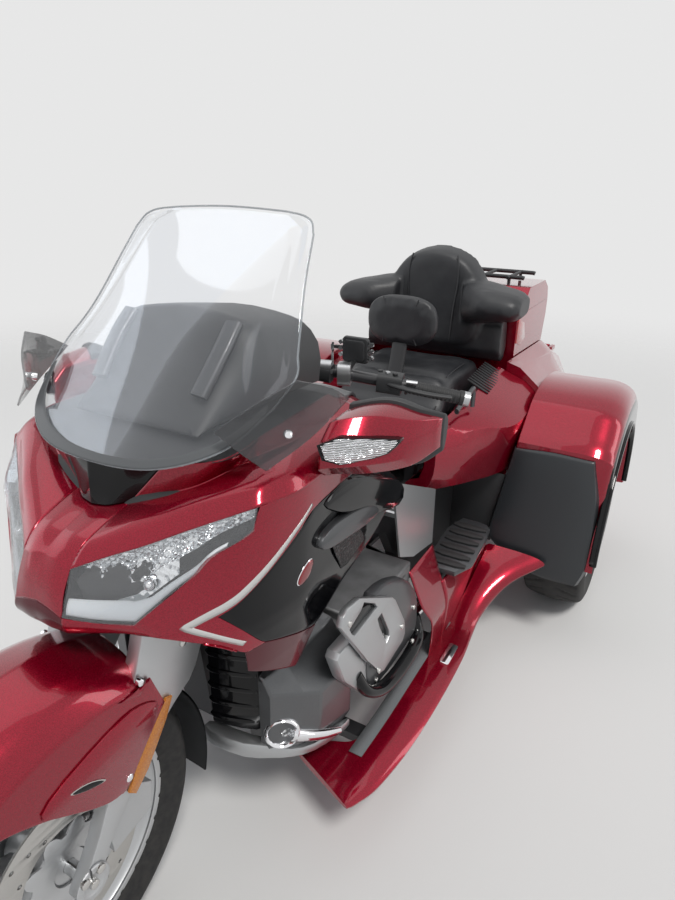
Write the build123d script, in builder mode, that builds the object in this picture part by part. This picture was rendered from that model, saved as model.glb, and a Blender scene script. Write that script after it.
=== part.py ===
"""Three-wheeled touring motorcycle: one steered front wheel, two wheels under fenders behind."""
from build123d import *
import os
from math import cos, radians, sin, tan

os.makedirs("parts", exist_ok=True)

# Whole vehicle. Stations are measured rearwards from the front axle, heights from the ground,
# widths from the centre plane with the vehicle's left side positive.
wheelbase = 1790.0
rear_reach = 2390.0
gap = 0.4
running_gap = 0.05

# Steering geometry
rake = 30.5
trail = 109.0
fork_lower_height = 690.0
fork_upper_height = 775.0

# Front wheel
front_radius = 318.0
front_tire_width = 130.0
front_rim_radius = 229.0
front_rim_width = 96.0
front_hub_width = 114.0
front_axle_radius = 13.0
disc_radius = 155.0
disc_thickness = 5.0
front_spokes = 10

# Front fender and fork legs
fender_crown = 400.0
fender_half_width = 122.0
fender_skin = 4.0
fender_front_angle = 62.0
fender_rear_angle = 26.0
skirt_radius = 110.0
leg_inner = 84.0
leg_thickness = 30.0
leg_width = 58.0
flap_radius = 334.0
flap_skin = 4.0
flap_width = 2 * (leg_inner - gap)
flap_start = 27.0
flap_end = 104.0

# Rear wheels
rear_radius = 318.0
rear_tire_width = 205.0
rear_rim_radius = 216.0
rear_rim_width = 178.0
rear_track = 1126.0
rear_axle_radius = 17.0
rear_spokes = 7
body_front = wheelbase - 90

# Frame and engine
spar_inner = 120.0
spar_thickness = 30.0
engine_half_width = 165.0
engine_bottom = 210.0
head_outer = 300.0
cover_thickness = 50.0
rail_bottom = 150.0
rail_top = 195.0

# Bodywork
cowl_skin = 14.0
cowl_floor = 1030.0
fog_height = 345.0
fog_x = 222.0
fog_radius = 34.0
screen_thickness = 4.5
tank_bottom = 760.0
seat_bottom = 690.0
seat_height = 745.0
rider_seat_end = 1420.0
board_bottom = 150.0
board_thickness = 36.0

# Luggage
trunk_front = wheelbase
trunk_rear = wheelbase + 440
trunk_half_width = 280.0
trunk_bottom = 790.0
trunk_rim = 1000.0
trunk_wall = 5.0
lid_hinge_station = trunk_front + 40
lid_top = 1080.0
rack_height = 1106.0
rack_bar_radius = 7.0
rack_front = trunk_front + 170
rack_rear = trunk_rear - 110
boot_door_thickness = 18.0
hinge_radius = 9.0
hinge_pin_radius = 4.0
plate_height = 600.0
plate_spacing_x = 146.0
plate_spacing_z = 70.0
plate_hole_radius = 3.5

front_reach = fender_crown * sin(radians(fender_front_angle))
front_axle_y = (front_reach - rear_reach) / 2
rear_wheel_x = rear_track / 2
sides = (("left", 1), ("right", -1))


def side_plane(x):
    """Plane at width x, seen from the left: local x runs rearwards by station, local y up."""
    return Plane(origin=(x, front_axle_y, 0), x_dir=(0, 1, 0), z_dir=(1, 0, 0))


def cross_plane(station):
    """Plane across the vehicle at a station: local x runs to the left, local y up."""
    return Plane(origin=(0, front_axle_y + station, 0), x_dir=(1, 0, 0), z_dir=(0, -1, 0))


def place(x, station, height):
    """Point of the vehicle from width, station and height."""
    return (x, front_axle_y + station, height)


def slab(outline, x_from, x_to, mode=Mode.ADD):
    """Side-view outline of (station, height) points, as thick as the two widths say."""
    with BuildSketch(side_plane(x_from)) as profile:
        with BuildLine():
            Polyline(outline, close=True)
        make_face()
    extrude(profile.sketch, amount=x_to - x_from, mode=mode)


def across(sections):
    """Body lofted through (station, half outline) pairs, each mirrored about the centre plane."""
    profiles = []
    for station, half in sections:
        other_half = [(-x, z) for x, z in reversed(half) if x > 0]
        with BuildSketch(cross_plane(station)) as profile:
            with BuildLine():
                Polyline(half + other_half, close=True)
            make_face()
        profiles.append(profile.sketch.face())
    loft(profiles, ruled=True)


def one_side(sections, sign, mode=Mode.ADD):
    """Body of one side lofted through (station, outline) pairs drawn for the left side."""
    profiles = []
    for station, outline in sections:
        with BuildSketch(cross_plane(station)) as profile:
            with BuildLine():
                Polyline([(sign * x, z) for x, z in outline], close=True)
            make_face()
        profiles.append(profile.sketch.face())
    loft(profiles, ruled=True, mode=mode)


def outward(sections, sign, mode=Mode.ADD):
    """Body of one side lofted outwards through (width, side outline) pairs."""
    profiles = []
    for x, outline in sections:
        with BuildSketch(side_plane(sign * x)) as profile:
            with BuildLine():
                Polyline(outline, close=True)
            make_face()
        profiles.append(profile.sketch.face())
    loft(profiles, ruled=True, mode=mode)


def plan_slab(outline, sign, low, high):
    """Plan outline of (width, station) points on one side, between two heights."""
    with BuildSketch(Plane.XY.offset(low)) as profile:
        with BuildLine():
            Polyline([(sign * x, front_axle_y + station) for x, station in outline], close=True)
        make_face()
    extrude(profile.sketch, amount=high - low)


def bar(start, end, radius, mode=Mode.ADD):
    """Round bar between two points of the vehicle."""
    a = Vector(*place(*start))
    b = Vector(*place(*end))
    with BuildSketch(Plane(origin=a, z_dir=b - a)) as profile:
        Circle(radius)
    extrude(profile.sketch, amount=(b - a).length, mode=mode)


def stay(start, end, radius, facets=8):
    """Faceted bar between two points of the vehicle, as wide as a round one of that radius."""
    a = Vector(*place(*start))
    b = Vector(*place(*end))
    with BuildSketch(Plane(origin=a, z_dir=b - a)) as profile:
        RegularPolygon(radius, facets)
    extrude(profile.sketch, amount=(b - a).length)


def finish_piece(piece, name):
    """Name a finished piece and write it."""
    piece.part.label = name
    export_step(piece.part, f"parts/{name}.step")


def axis_station(height):
    """Station of the steering axis at a height."""
    return -trail + tan(radians(rake)) * height


def steering_plane(height):
    """Plane across the steering axis at a height."""
    return Plane(
        origin=place(0, axis_station(height), height),
        x_dir=(1, 0, 0),
        z_dir=(0, sin(radians(rake)), cos(radians(rake))),
    )


# Wheels: a cast rim with spokes and a hub, a hollow tyre, and drilled brake discs in front
def wheel_plane(x, station, radius):
    """Plane through a wheel's axis: local x along the axle, local y up from the axle."""
    return Plane(origin=place(x, station, radius), x_dir=(1, 0, 0), z_dir=(0, -1, 0))


def wheel_axis(x, station, radius):
    """Axle line of a wheel."""
    return Axis(place(x, station, radius), (1, 0, 0))


def tire(x, station, radius, width, rim_radius, rim_width, flat):
    """Hollow tyre: beads on the rim, bulged side walls and a crowned tread."""
    half = width / 2
    bead = rim_width / 2
    wall = 12.0
    shoulder = radius - flat
    waist = (radius + rim_radius) / 2
    outer = [
        (0, radius),
        (half * 0.5, radius - flat * 0.3),
        (half * 0.86, shoulder),
        (half, waist),
        (bead + 2, rim_radius + 6),
        (bead, rim_radius),
    ]
    inner = [
        (bead - wall, rim_radius),
        (half - wall, waist),
        (half * 0.78, shoulder - wall),
        (0, radius - wall * 1.2),
    ]
    half_outline = outer + inner
    other_half = [(-u, v) for u, v in reversed(half_outline) if u > 0]
    with BuildSketch(wheel_plane(x, station, radius)) as profile:
        with BuildLine():
            Polyline(half_outline + other_half, close=True)
        make_face()
    revolve(profile.sketch, axis=wheel_axis(x, station, radius))


def rim(x, station, radius, rim_radius, rim_width, hub_radius, hub_width, bore, spokes, spoke_width):
    """Cast rim: flanged barrel, dropped well, hub with its bore and a ring of spokes."""
    half = rim_width / 2
    seat = rim_radius - 0.3
    barrel = 9.0
    well = 24.0
    with BuildSketch(wheel_plane(x, station, radius)) as barrel_profile:
        with BuildLine():
            Polyline(
                (-half, seat),
                (-half * 0.5, seat - well),
                (half * 0.5, seat - well),
                (half, seat),
                (half, seat - barrel - 4),
                (half * 0.42, seat - well - barrel),
                (-half * 0.42, seat - well - barrel),
                (-half, seat - barrel - 4),
                close=True,
            )
        make_face()
    revolve(barrel_profile.sketch, axis=wheel_axis(x, station, radius))
    with BuildSketch(side_plane(x - hub_width / 2)) as hub_profile:
        with Locations((station, radius)):
            Circle(hub_radius)
    extrude(hub_profile.sketch, amount=hub_width)
    spoke_length = seat - well - barrel / 2
    with BuildSketch(side_plane(x - half * 0.3)) as spoke_profile:
        with Locations((station, radius)):
            with PolarLocations(spoke_length / 2, spokes):
                Rectangle(spoke_length, spoke_width)
    extrude(spoke_profile.sketch, amount=half * 0.6)
    with BuildSketch(side_plane(x - hub_width)) as bore_profile:
        with Locations((station, radius)):
            Circle(bore)
    extrude(bore_profile.sketch, amount=2 * hub_width, mode=Mode.SUBTRACT)


with BuildPart() as front_rim:
    rim(0, 0, front_radius, front_rim_radius, front_rim_width, 52, front_hub_width,
        front_axle_radius + running_gap, front_spokes, 24)
finish_piece(front_rim, "front_rim")

with BuildPart() as front_tire:
    tire(0, 0, front_radius, front_tire_width, front_rim_radius, front_rim_width, 24)
finish_piece(front_tire, "front_tire")

with BuildPart() as front_discs:
    for name, sign in sides:
        with BuildSketch(side_plane(sign * (front_hub_width / 2))):
            with Locations((0, front_radius)):
                Circle(disc_radius)
                Circle(front_axle_radius * 2, mode=Mode.SUBTRACT)
                with PolarLocations(disc_radius - 22, 10):
                    Rectangle(8, 26, mode=Mode.SUBTRACT)
                with PolarLocations(78, 6):
                    Rectangle(46, 24, mode=Mode.SUBTRACT)
        extrude(amount=sign * disc_thickness)
finish_piece(front_discs, "front_discs")

for name, sign in sides:
    with BuildPart() as rear_rim:
        rim(sign * rear_wheel_x, wheelbase, rear_radius, rear_rim_radius, rear_rim_width, 62, 120,
            rear_axle_radius + running_gap, rear_spokes, 40)
    finish_piece(rear_rim, f"rear_rim_{name}")
    with BuildPart() as rear_tire:
        tire(sign * rear_wheel_x, wheelbase, rear_radius, rear_tire_width, rear_rim_radius,
             rear_rim_width, 12)
    finish_piece(rear_tire, f"rear_tire_{name}")


# Fork: two cast legs, a bridge over the tyre and a pin on the steering axis at each end
leg_outer = leg_inner + leg_thickness
bridge_top = axis_station(fork_upper_height)
bridge_low = axis_station(fork_lower_height)
pin_radius = 12.0
pin_length = 26.0
with BuildPart() as fork:
    for name, sign in sides:
        slab(
            [
                (-leg_width / 2, front_radius - 8),
                (leg_width / 2, front_radius - 8),
                (188, 498),
                (284, 545),
                (bridge_low + 28, 640),
                (bridge_low + 28, fork_lower_height + 8),
                (bridge_top + 20, fork_upper_height - 6),
                (bridge_top - 66, fork_upper_height - 2),
                (bridge_low - 52, fork_lower_height + 20),
            ],
            sign * leg_inner,
            sign * leg_outer,
        )
        with BuildSketch(side_plane(sign * leg_inner)):
            with Locations((0, front_radius)):
                Circle(36)
        extrude(amount=sign * (leg_thickness + 4))
        with BuildSketch(side_plane(sign * (leg_outer - 1))):
            with Locations((105, 482), (150, 540)):
                Circle(10)
        extrude(amount=sign * (fender_half_width - fender_skin - gap - leg_outer + 1))
    slab(
        [
            (bridge_low - 12, fork_lower_height + 18),
            (bridge_low + 46, fork_lower_height + 4),
            (bridge_top + 20, fork_upper_height - 6),
            (bridge_top - 30, fork_upper_height - 4),
        ],
        -leg_outer,
        leg_outer,
    )
    with BuildSketch(side_plane(-leg_outer)):
        with Locations((0, front_radius)):
            Circle(front_axle_radius)
    extrude(amount=2 * leg_outer)
    with BuildSketch(steering_plane(fork_lower_height + 20)):
        Circle(pin_radius)
    extrude(amount=fork_upper_height - fork_lower_height + 40)
    with BuildSketch(steering_plane(fork_lower_height + 30)):
        Circle(pin_radius)
    extrude(amount=-pin_length - 34)
finish_piece(fork, "fork")

with BuildPart() as front_fender:
    start = radians(-fender_front_angle)
    fender_plane = Plane(
        origin=place(0, 0, front_radius),
        x_dir=(1, 0, 0),
        z_dir=(0, -cos(start), sin(start)),
    )
    wall = fender_half_width
    outer = [(0, 400), (48, 393), (90, 376), (112, 354), (wall, 326), (wall, skirt_radius)]
    inner = [
        (wall - fender_skin, skirt_radius),
        (wall - fender_skin, 326),
        (109, 351),
        (88, 371),
        (47, 388),
        (0, 395),
    ]
    half_outline = outer + inner
    other_half = [(-u, v) for u, v in reversed(half_outline) if u > 0]
    with BuildSketch(fender_plane):
        with BuildLine():
            Polyline(half_outline + other_half, close=True)
        make_face()
    revolve(
        axis=wheel_axis(0, 0, front_radius),
        revolution_arc=-(fender_front_angle + fender_rear_angle),
    )
    slab(
        [(-420, 480), (-330, 530), (-120, 572), (87, 443), (197, 558), (260, 558), (260, 100), (-420, 100)],
        -200,
        200,
        mode=Mode.SUBTRACT,
    )
    for name, sign in sides:
        slab(
            [(60, 470), (87, 443), (197, 558), (173, 663), (150, 640), (120, 560)],
            sign * (wall - fender_skin),
            sign * wall,
        )
finish_piece(front_fender, "front_fender")

with BuildPart() as mud_flap:
    flap_plane = Plane(
        origin=place(0, 0, front_radius),
        x_dir=(1, 0, 0),
        z_dir=(0, -cos(radians(flap_start)), sin(radians(flap_start))),
    )
    with BuildSketch(flap_plane):
        with Locations((0, flap_radius + flap_skin / 2)):
            Rectangle(flap_width, flap_skin)
    revolve(axis=wheel_axis(0, 0, front_radius), revolution_arc=flap_start - flap_end)
finish_piece(mud_flap, "mud_flap")

with BuildPart() as front_calipers:
    for name, sign in sides:
        slab(
            [
                (72, front_radius - 36),
                (168, front_radius - 20),
                (176, front_radius + 40),
                (120, front_radius + 86),
                (64, front_radius + 60),
            ],
            sign * (front_hub_width / 2 - 17),
            sign * leg_inner,
        )
        slab(
            [
                (40, front_radius - 60),
                (disc_radius + 6, front_radius - 60),
                (disc_radius + 6, front_radius + 100),
                (40, front_radius + 100),
            ],
            sign * (front_hub_width / 2 - 3),
            sign * (front_hub_width / 2 + disc_thickness + 3),
            mode=Mode.SUBTRACT,
        )
finish_piece(front_calipers, "front_calipers")


# Handlebar stem, parallel to the fork's axis and linked to it
stem_station = 745.0
stem_height = 1000.0


def stem_plane(along):
    """Plane across the handlebar stem at a distance along it from its top."""
    up = Vector(0, sin(radians(rake)), cos(radians(rake)))
    return Plane(origin=Vector(*place(0, stem_station, stem_height)) + up * along, x_dir=(1, 0, 0), z_dir=up)


# Frame: twin spars, head block, cradle, seat rails, wishbones to the fork
def spar_low(station):
    """Height of the underside of a main spar."""
    return 680 - (station - 620) * 200 / 440


with BuildPart() as main_frame:
    for name, sign in sides:
        inner = sign * spar_inner
        outer = sign * (spar_inner + spar_thickness)
        slab(
            [
                (440, 690),
                (520, 825),
                (640, 815),
                (1160, 530),
                (1240, 390),
                (1200, rail_bottom),
                (1130, rail_bottom),
                (1130, 370),
                (1060, spar_low(1060)),
                (620, spar_low(620)),
                (520, 640),
            ],
            inner,
            outer,
        )
        slab([(520, rail_bottom), (1200, rail_bottom), (1200, rail_top), (520, rail_top)], inner, outer)
        slab([(450, 690), (500, 660), (560, rail_bottom), (510, rail_bottom)], sign * 60, outer)
        slab([(1150, 500), (1200, 560), (body_front - 0.3, 590), (body_front - 0.3, 550), (1240, 470)], inner, outer)
        for station in (850, 1000):
            slab(
                [
                    (station, 560),
                    (station + 30, 560),
                    (station + 30, tank_bottom - gap),
                    (station, tank_bottom - gap),
                ],
                inner,
                outer,
            )
        for station in (1250, 1450, 1650):
            slab(
                [
                    (station, 540),
                    (station + 30, 540),
                    (station + 30, seat_bottom - gap),
                    (station, seat_bottom - gap),
                ],
                inner,
                outer,
            )
        for station in (640, 1060):
            slab(
                [
                    (station, board_bottom - 24),
                    (station + 40, board_bottom - 24),
                    (station + 40, board_bottom - gap),
                    (station, board_bottom - gap),
                ],
                sign * spar_inner,
                sign * 390,
            )
            slab(
                [
                    (station, board_bottom - 24),
                    (station + 40, board_bottom - 24),
                    (station + 40, rail_top - 5),
                    (station, rail_top - 5),
                ],
                sign * spar_inner,
                sign * (spar_inner + spar_thickness),
            )
    slab([(452, 600), (530, 590), (545, 800), (452, 800)], -spar_inner, spar_inner)
    for station, height in ((1175, 420), (1660, 566), (1170, 172)):
        stay((-spar_inner, station, height), (spar_inner, station, height), 18)
    with BuildSketch(stem_plane(-170)):
        Circle(32)
    extrude(amount=120)
    for name, sign in sides:
        stay((sign * 24, 690, 905), (sign * 128, 620, 790), 12)
    with BuildSketch(stem_plane(-200)):
        Circle(18 + running_gap)
    extrude(amount=220, mode=Mode.SUBTRACT)
finish_piece(main_frame, "main_frame")

with BuildPart() as wishbones:
    for height, foot in ((fork_upper_height + 14, 797.0), (fork_lower_height - 34, 640.0)):
        up = height > fork_lower_height
        with BuildSketch(steering_plane(height)):
            Circle(26)
            Circle(pin_radius + running_gap, mode=Mode.SUBTRACT)
        extrude(amount=12 if up else -12)
        eye = height + (5 if up else -5)
        for name, sign in sides:
            stay((sign * 22, axis_station(eye) + 12, eye), (sign * 42, 372, eye), 10)
            stay((sign * 40, 366, eye), (sign * 104, 462, foot), 10)
    add(main_frame.part, mode=Mode.SUBTRACT)
finish_piece(wishbones, "wishbones")

# Engine: crankcase with six cylinders laid flat, three to a side, and their ribbed covers
with BuildPart() as engine:
    slab(
        [
            (570, 260),
            (600, engine_bottom),
            (960, engine_bottom),
            (1040, 290),
            (1040, 430),
            (900, 530),
            (640, 640),
            (580, 600),
        ],
        -engine_half_width,
        engine_half_width,
    )
    for name, sign in sides:
        slab([(600, 330), (880, 330), (900, 520), (620, 520)], sign * engine_half_width, sign * head_outer)
        slab(
            [(700, 590), (780, 560), (780, spar_low(780) - gap), (700, spar_low(700) - gap)],
            sign * spar_inner,
            sign * (spar_inner + spar_thickness),
        )
finish_piece(engine, "engine")

with BuildPart() as head_covers:
    for name, sign in sides:
        slab(
            [(600, 345), (690, 318), (862, 318), (890, 345), (880, 440), (800, 525), (640, 572), (598, 545)],
            sign * (head_outer + gap),
            sign * (head_outer + cover_thickness - 14),
        )
        plate = sign * (head_outer + cover_thickness - 14)
        plate_face = sign * (head_outer + cover_thickness)
        slab(
            [(520, 600), (545, 612), (772, 520), (806, 468), (870, 335), (850, 322), (690, 332), (636, 425), (536, 530)],
            plate,
            plate_face,
        )
        slab([(560, 570), (700, 515), (680, 470), (560, 545)], plate, plate_face, mode=Mode.SUBTRACT)
        slab([(700, 450), (770, 460), (820, 352), (722, 358)], plate, plate_face, mode=Mode.SUBTRACT)
        stay((sign * (head_outer + 30), 610, 372), (sign * (head_outer + 46), 690, 306), 11)
        stay((sign * (head_outer + 46), 690, 306), (sign * (head_outer + 34), 884, 290), 11)
finish_piece(head_covers, "head_covers")

with BuildPart() as radiators:
    for name, sign in sides:
        plan_slab([(62, 362), (188, 396), (188, 440), (62, 440)], sign, 330, 560)
        slab([(436, 330), (489.6, 330), (464, 560), (436, 560)], sign * 62, sign * 150)
finish_piece(radiators, "radiators")

with BuildPart() as engine_cowls:
    for name, sign in sides:
        one_side(
            [
                (380, [(190.4, 300), (200, 290), (216, 320), (219, 420), (205, 490), (190.4, 500)]),
                (430, [(190.4, 270), (225, 260), (262, 300), (266, 430), (225, 515), (190.4, 520)]),
                (468, [(190.4, 250), (230, 240), (278, 295), (282, 440), (235, 528), (190.4, 530)]),
                (588, [(190.4, 225), (262, 215), (296, 275), (298, 470), (250, 545), (190.4, 545)]),
            ],
            sign,
        )
        plan_slab([(60, 357), (150, 363), (194, 384), (194, 490), (60, 490)], sign, 292, 326)
        bar(
            (sign * fog_x, 340, fog_height),
            (sign * fog_x, 470 + gap, fog_height),
            fog_radius + gap,
            mode=Mode.SUBTRACT,
        )
finish_piece(engine_cowls, "engine_cowls")

with BuildPart() as fog_lights:
    for name, sign in sides:
        bar((sign * fog_x, 396, fog_height), (sign * fog_x, 470, fog_height), fog_radius)
finish_piece(fog_lights, "fog_lights")

# Fairing: lamps set into the nose, side cowls, windscreen, hood over the dials
lamp_rows = (
    # width, lower station, lower height, upper station, upper height, depth
    (55, 72, 794, 104, 867, 24),
    (150, 131, 780, 171, 904, 28),
    (250, 209, 894, 246, 945, 26),
    (290, 264, 925, 276, 961, 20),
)


def lamp_sections(ahead, margin):
    """Side outlines of a headlamp, carried ahead of its lens and grown by a margin."""
    sections = []
    for x, low, low_z, top, top_z, depth in lamp_rows:
        edge = 0
        if x == lamp_rows[0][0]:
            edge = -margin
        if x == lamp_rows[-1][0]:
            edge = margin
        outline = [
            (low - ahead, low_z - margin),
            (top - ahead, top_z + margin),
            (top + depth + margin, top_z + margin),
            (low + depth + margin, low_z - margin),
        ]
        sections.append((x + edge, outline))
    return sections


with BuildPart() as headlights:
    for name, sign in sides:
        outward(lamp_sections(0, 0), sign)
finish_piece(headlights, "headlights")

with BuildPart() as upper_cowl:
    across(
        [
            (75, [(0, 757), (30, 757), (45, 765), (50, 780), (50, 796), (40, 806), (20, 812), (0, 815)]),
            (104, [(0, 752), (60, 752), (92, 760), (100, 785), (100, 810), (66, 868), (40, 874), (0, 876)]),
            (133, [(0, 756), (90, 756), (125, 762), (136, 785), (136, 850), (100, 884), (50, 894), (0, 896)]),
            (203, [(0, 800), (130, 775), (200, 760), (230, 800), (230, 890), (190, 920), (60, 920), (0, 921)]),
            (209, [(0, 803), (130, 776), (204, 760), (234, 802), (235, 892), (192, 925), (58, 930), (0, 1003)]),
            (245, [(0, 825), (140, 785), (220, 775), (262, 815), (264, 915), (240, 945), (128, 1010), (0, 1012)]),
            (290, [(0, 840), (150, 800), (240, 800), (282, 830), (282, 930), (264, 962), (218, 1020), (0, 1022)]),
            (400, [(0, 880), (170, 850), (270, 850), (302, 870), (302, 930), (296, 962), (215, 1028),
                   (0, cowl_floor)]),
            (640, [(0, 900), (170, 880), (260, 880), (286, 890), (286, 930), (282, 962), (200, 1028),
                   (0, cowl_floor)]),
        ]
    )
    slab([(460, 800 + gap), (540, 800 + gap), (540, 900), (460, 896)], -50, 50)
    for name, sign in sides:
        outward(lamp_sections(60, gap), sign, mode=Mode.SUBTRACT)
finish_piece(upper_cowl, "upper_cowl")

cowl_red = [
    (118, 768),
    (150, 752),
    (215, 722),
    (248, 695),
    (258, 645),
    (384, 566),
    (432, 636),
    (282, 698),
    (268, 712),
    (212, 782),
    (300, 850),
    (400, 912),
    (640, 915),
    (640, 962),
    (118, 962),
]
cowl_black = [
    (212 + 2 * gap, 782),
    (268 + 1.5 * gap, 712 + gap),
    (282 + gap, 698 + gap),
    (432 + gap, 636 + gap),
    (536, 676),
    (640, 690),
    (640, 915 - gap),
    (400, 912 - gap),
    (300 + gap, 850 - gap),
]
shell_rows = ((118, 119), (133, 137), (203, 231), (209, 236), (245, 265), (290, 285), (400, 303), (640, 288))
for piece_name, outline in (("side_cowls", cowl_red), ("side_panels", cowl_black)):
    with BuildPart() as cowl_pieces:
        for name, sign in sides:
            sections = []
            for station, half in shell_rows:
                inner = half + gap
                outer = inner + cowl_skin
                shell = [
                    (inner - 40, 545),
                    (outer - 40, 545),
                    (outer - 8, 700),
                    (outer, 750),
                    (outer, 962),
                    (inner, 962),
                    (inner, 750),
                    (inner - 8, 700),
                ]
                sections.append((station, shell))
            one_side(sections, sign)
        slab(outline, -400, 400, mode=Mode.INTERSECT)
        if piece_name == "side_panels":
            for name, sign in sides:
                slab(
                    [(600, 900), (640, 896), (721, 850), (773, 809), (747, 764), (600, 790)],
                    sign * 289,
                    sign * 303,
                )
                slab(
                    [(404, 833), (520, 846), (636, 816), (658, 784), (511, 792), (429, 806)],
                    sign * 300,
                    sign * 326,
                )
        for name, sign in sides:
            outward(lamp_sections(60, gap), sign, mode=Mode.SUBTRACT)
    finish_piece(cowl_pieces, piece_name)

with BuildPart() as windscreen:
    half = 310
    profiles = []
    for height, front, flank in ((995, 199, 272), (1190, 401, 505), (1390, 608, 620)):
        with BuildSketch(Plane.XY.offset(height)) as profile:
            with BuildLine():
                ThreePointArc(place(-half, flank, 0)[:2], place(0, front, 0)[:2], place(half, flank, 0)[:2])
                Line(place(half, flank, 0)[:2], place(half, flank + screen_thickness, 0)[:2])
                ThreePointArc(
                    place(half, flank + screen_thickness, 0)[:2],
                    place(0, front + screen_thickness, 0)[:2],
                    place(-half, flank + screen_thickness, 0)[:2],
                )
                Line(place(-half, flank + screen_thickness, 0)[:2], place(-half, flank, 0)[:2])
            make_face()
        profiles.append(profile.sketch.face())
    loft(profiles, ruled=True)
    screen_half = [
        (0, 1000),
        (130, 1006),
        (220, 1036),
        (262, 1088),
        (272, 1128),
        (258, 1160),
        (246, 1190),
        (228, 1252),
        (212, 1318),
        (178, 1352),
        (110, 1371),
        (0, 1377),
    ]
    other_half = [(-x, z) for x, z in reversed(screen_half) if x > 0]
    with BuildSketch(cross_plane(-100)) as front_view:
        with BuildLine():
            Polyline(screen_half + other_half, close=True)
        make_face()
    extrude(front_view.sketch, amount=-1200, mode=Mode.INTERSECT)
    add(upper_cowl.part, mode=Mode.SUBTRACT)
finish_piece(windscreen, "windscreen")

with BuildPart() as dash_hood:
    hood_floor = cowl_floor + gap
    across(
        [
            (312, [(0, hood_floor), (140, hood_floor), (158, 1034), (128, 1038), (92, 1040), (0, 1044)]),
            (400, [(0, hood_floor), (150, hood_floor), (172, 1080), (140, 1120), (100, 1128), (0, 1136)]),
            (452, [(0, hood_floor), (175, hood_floor), (184, 1130), (150, 1180), (100, 1198), (0, 1206)]),
            (500, [(0, hood_floor), (180, hood_floor), (190, 1140), (155, 1186), (104, 1202), (0, 1212)]),
            (640, [(0, hood_floor), (180, hood_floor), (190, 1120), (155, 1166), (104, 1182), (0, 1192)]),
        ]
    )
finish_piece(dash_hood, "dash_hood")

with BuildPart() as mirrors:
    for name, sign in sides:
        outward(
            [
                (317.8, [(405, 955), (540, 950), (560, 985), (520, 1012), (425, 1012)]),
                (334, [(402, 962), (560, 955), (580, 1050), (520, 1078), (415, 1066)]),
                (430, [(512, 965), (600, 955), (614, 1040), (580, 1062), (520, 1052)]),
                (462, [(586, 985), (610, 980), (618, 1030), (606, 1045), (594, 1040)]),
            ],
            sign,
        )
finish_piece(mirrors, "mirrors")

with BuildPart() as turn_signals:
    for name, sign in sides:
        outward(
            [
                (340, [(400, 992), (411.4, 992), (418, 1044), (408, 1044)]),
                (424, [(494, 978), (505.8, 978), (509, 1012), (500, 1012)]),
            ],
            sign,
        )
finish_piece(turn_signals, "turn_signals")

with BuildPart() as wind_deflectors:
    for name, sign in sides:
        low = Vector(*place(sign * 218, 268, 1074))
        back = Vector(*place(sign * 345, 466, 1092))
        top = Vector(*place(sign * 318, 352, 1148))
        foot = Vector(*place(sign * 296, 294, 1014))
        blade = Plane(origin=low, x_dir=back - low, z_dir=(back - low).cross(top - foot))
        corners = [blade.to_local_coords(corner) for corner in (low, top, back, foot)]
        with BuildSketch(blade) as profile:
            with BuildLine():
                Polyline([(corner.X, corner.Y) for corner in corners], close=True)
            make_face()
        extrude(profile.sketch, amount=4)
        stay((sign * 292, 345, 1080), (sign * 262, 368, 970), 6)
    add(upper_cowl.part, mode=Mode.SUBTRACT)
finish_piece(wind_deflectors, "wind_deflectors")

# Handlebar on its stem
with BuildPart() as handlebar:
    with BuildSketch(stem_plane(-180)):
        Circle(18)
    extrude(amount=196)
    for name, sign in sides:
        stay((0, stem_station + 4, stem_height + 8), (sign * 110, 775, 1030), 16)
        stay((sign * 110, 775, 1030), (sign * 285, 820, 1012), 13)
        bar((sign * 285, 820, 1012), (sign * 404, 874, 987), 13)
        stay((sign * 236, 807.4, 1017), (sign * 276, 817.7, 1012.9), 22)
        stay((sign * 100, 752, 1034), (sign * 138, 761, 1031), 20)
        stay((sign * 262, 788, 1020), (sign * 390, 830, 1000), 5)
    stay((165, 783, 1025), (180, 790, 1060), 6)
    with Locations(place(180, 795, 1082)):
        Box(62, 16, 54)
    for name, sign in sides:
        bar((sign * 300, 826.8, 1008.9), (sign * 404, 874, 987), 17)
finish_piece(handlebar, "handlebar")

with BuildPart() as tank_cover:
    across(
        [
            (800, [(0, tank_bottom), (150, tank_bottom), (170, 850), (140, 910), (80, 938), (0, 945)]),
            (950, [(0, tank_bottom), (165, tank_bottom), (182, 840), (145, 900), (80, 925), (0, 930)]),
            (1085, [(0, tank_bottom), (130, tank_bottom), (140, 785), (110, 798), (70, 804), (0, 805)]),
        ]
    )
finish_piece(tank_cover, "tank_cover")

# Seats
with BuildPart() as seats:
    across(
        [
            (1100, [(0, seat_bottom), (120, seat_bottom), (130, 740), (90, 756), (0, 756)]),
            (1200, [(0, seat_bottom), (185, seat_bottom), (195, 735), (150, 755), (0, seat_height)]),
            (1360, [(0, seat_bottom), (195, seat_bottom), (205, 765), (160, 785), (0, 770)]),
            (rider_seat_end, [(0, seat_bottom), (190, seat_bottom), (200, 830), (150, 860), (0, 850)]),
        ]
    )
    across(
        [
            (rider_seat_end + gap, [(0, seat_bottom), (190, seat_bottom), (200, 830), (150, 850), (0, 830)]),
            (1470, [(0, seat_bottom), (195, seat_bottom), (203, 845), (155, 868), (0, 862)]),
            (body_front - 9, [(0, seat_bottom), (200, seat_bottom), (206, 850), (160, 872), (0, 868)]),
        ]
    )
finish_piece(seats, "seats")

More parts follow.
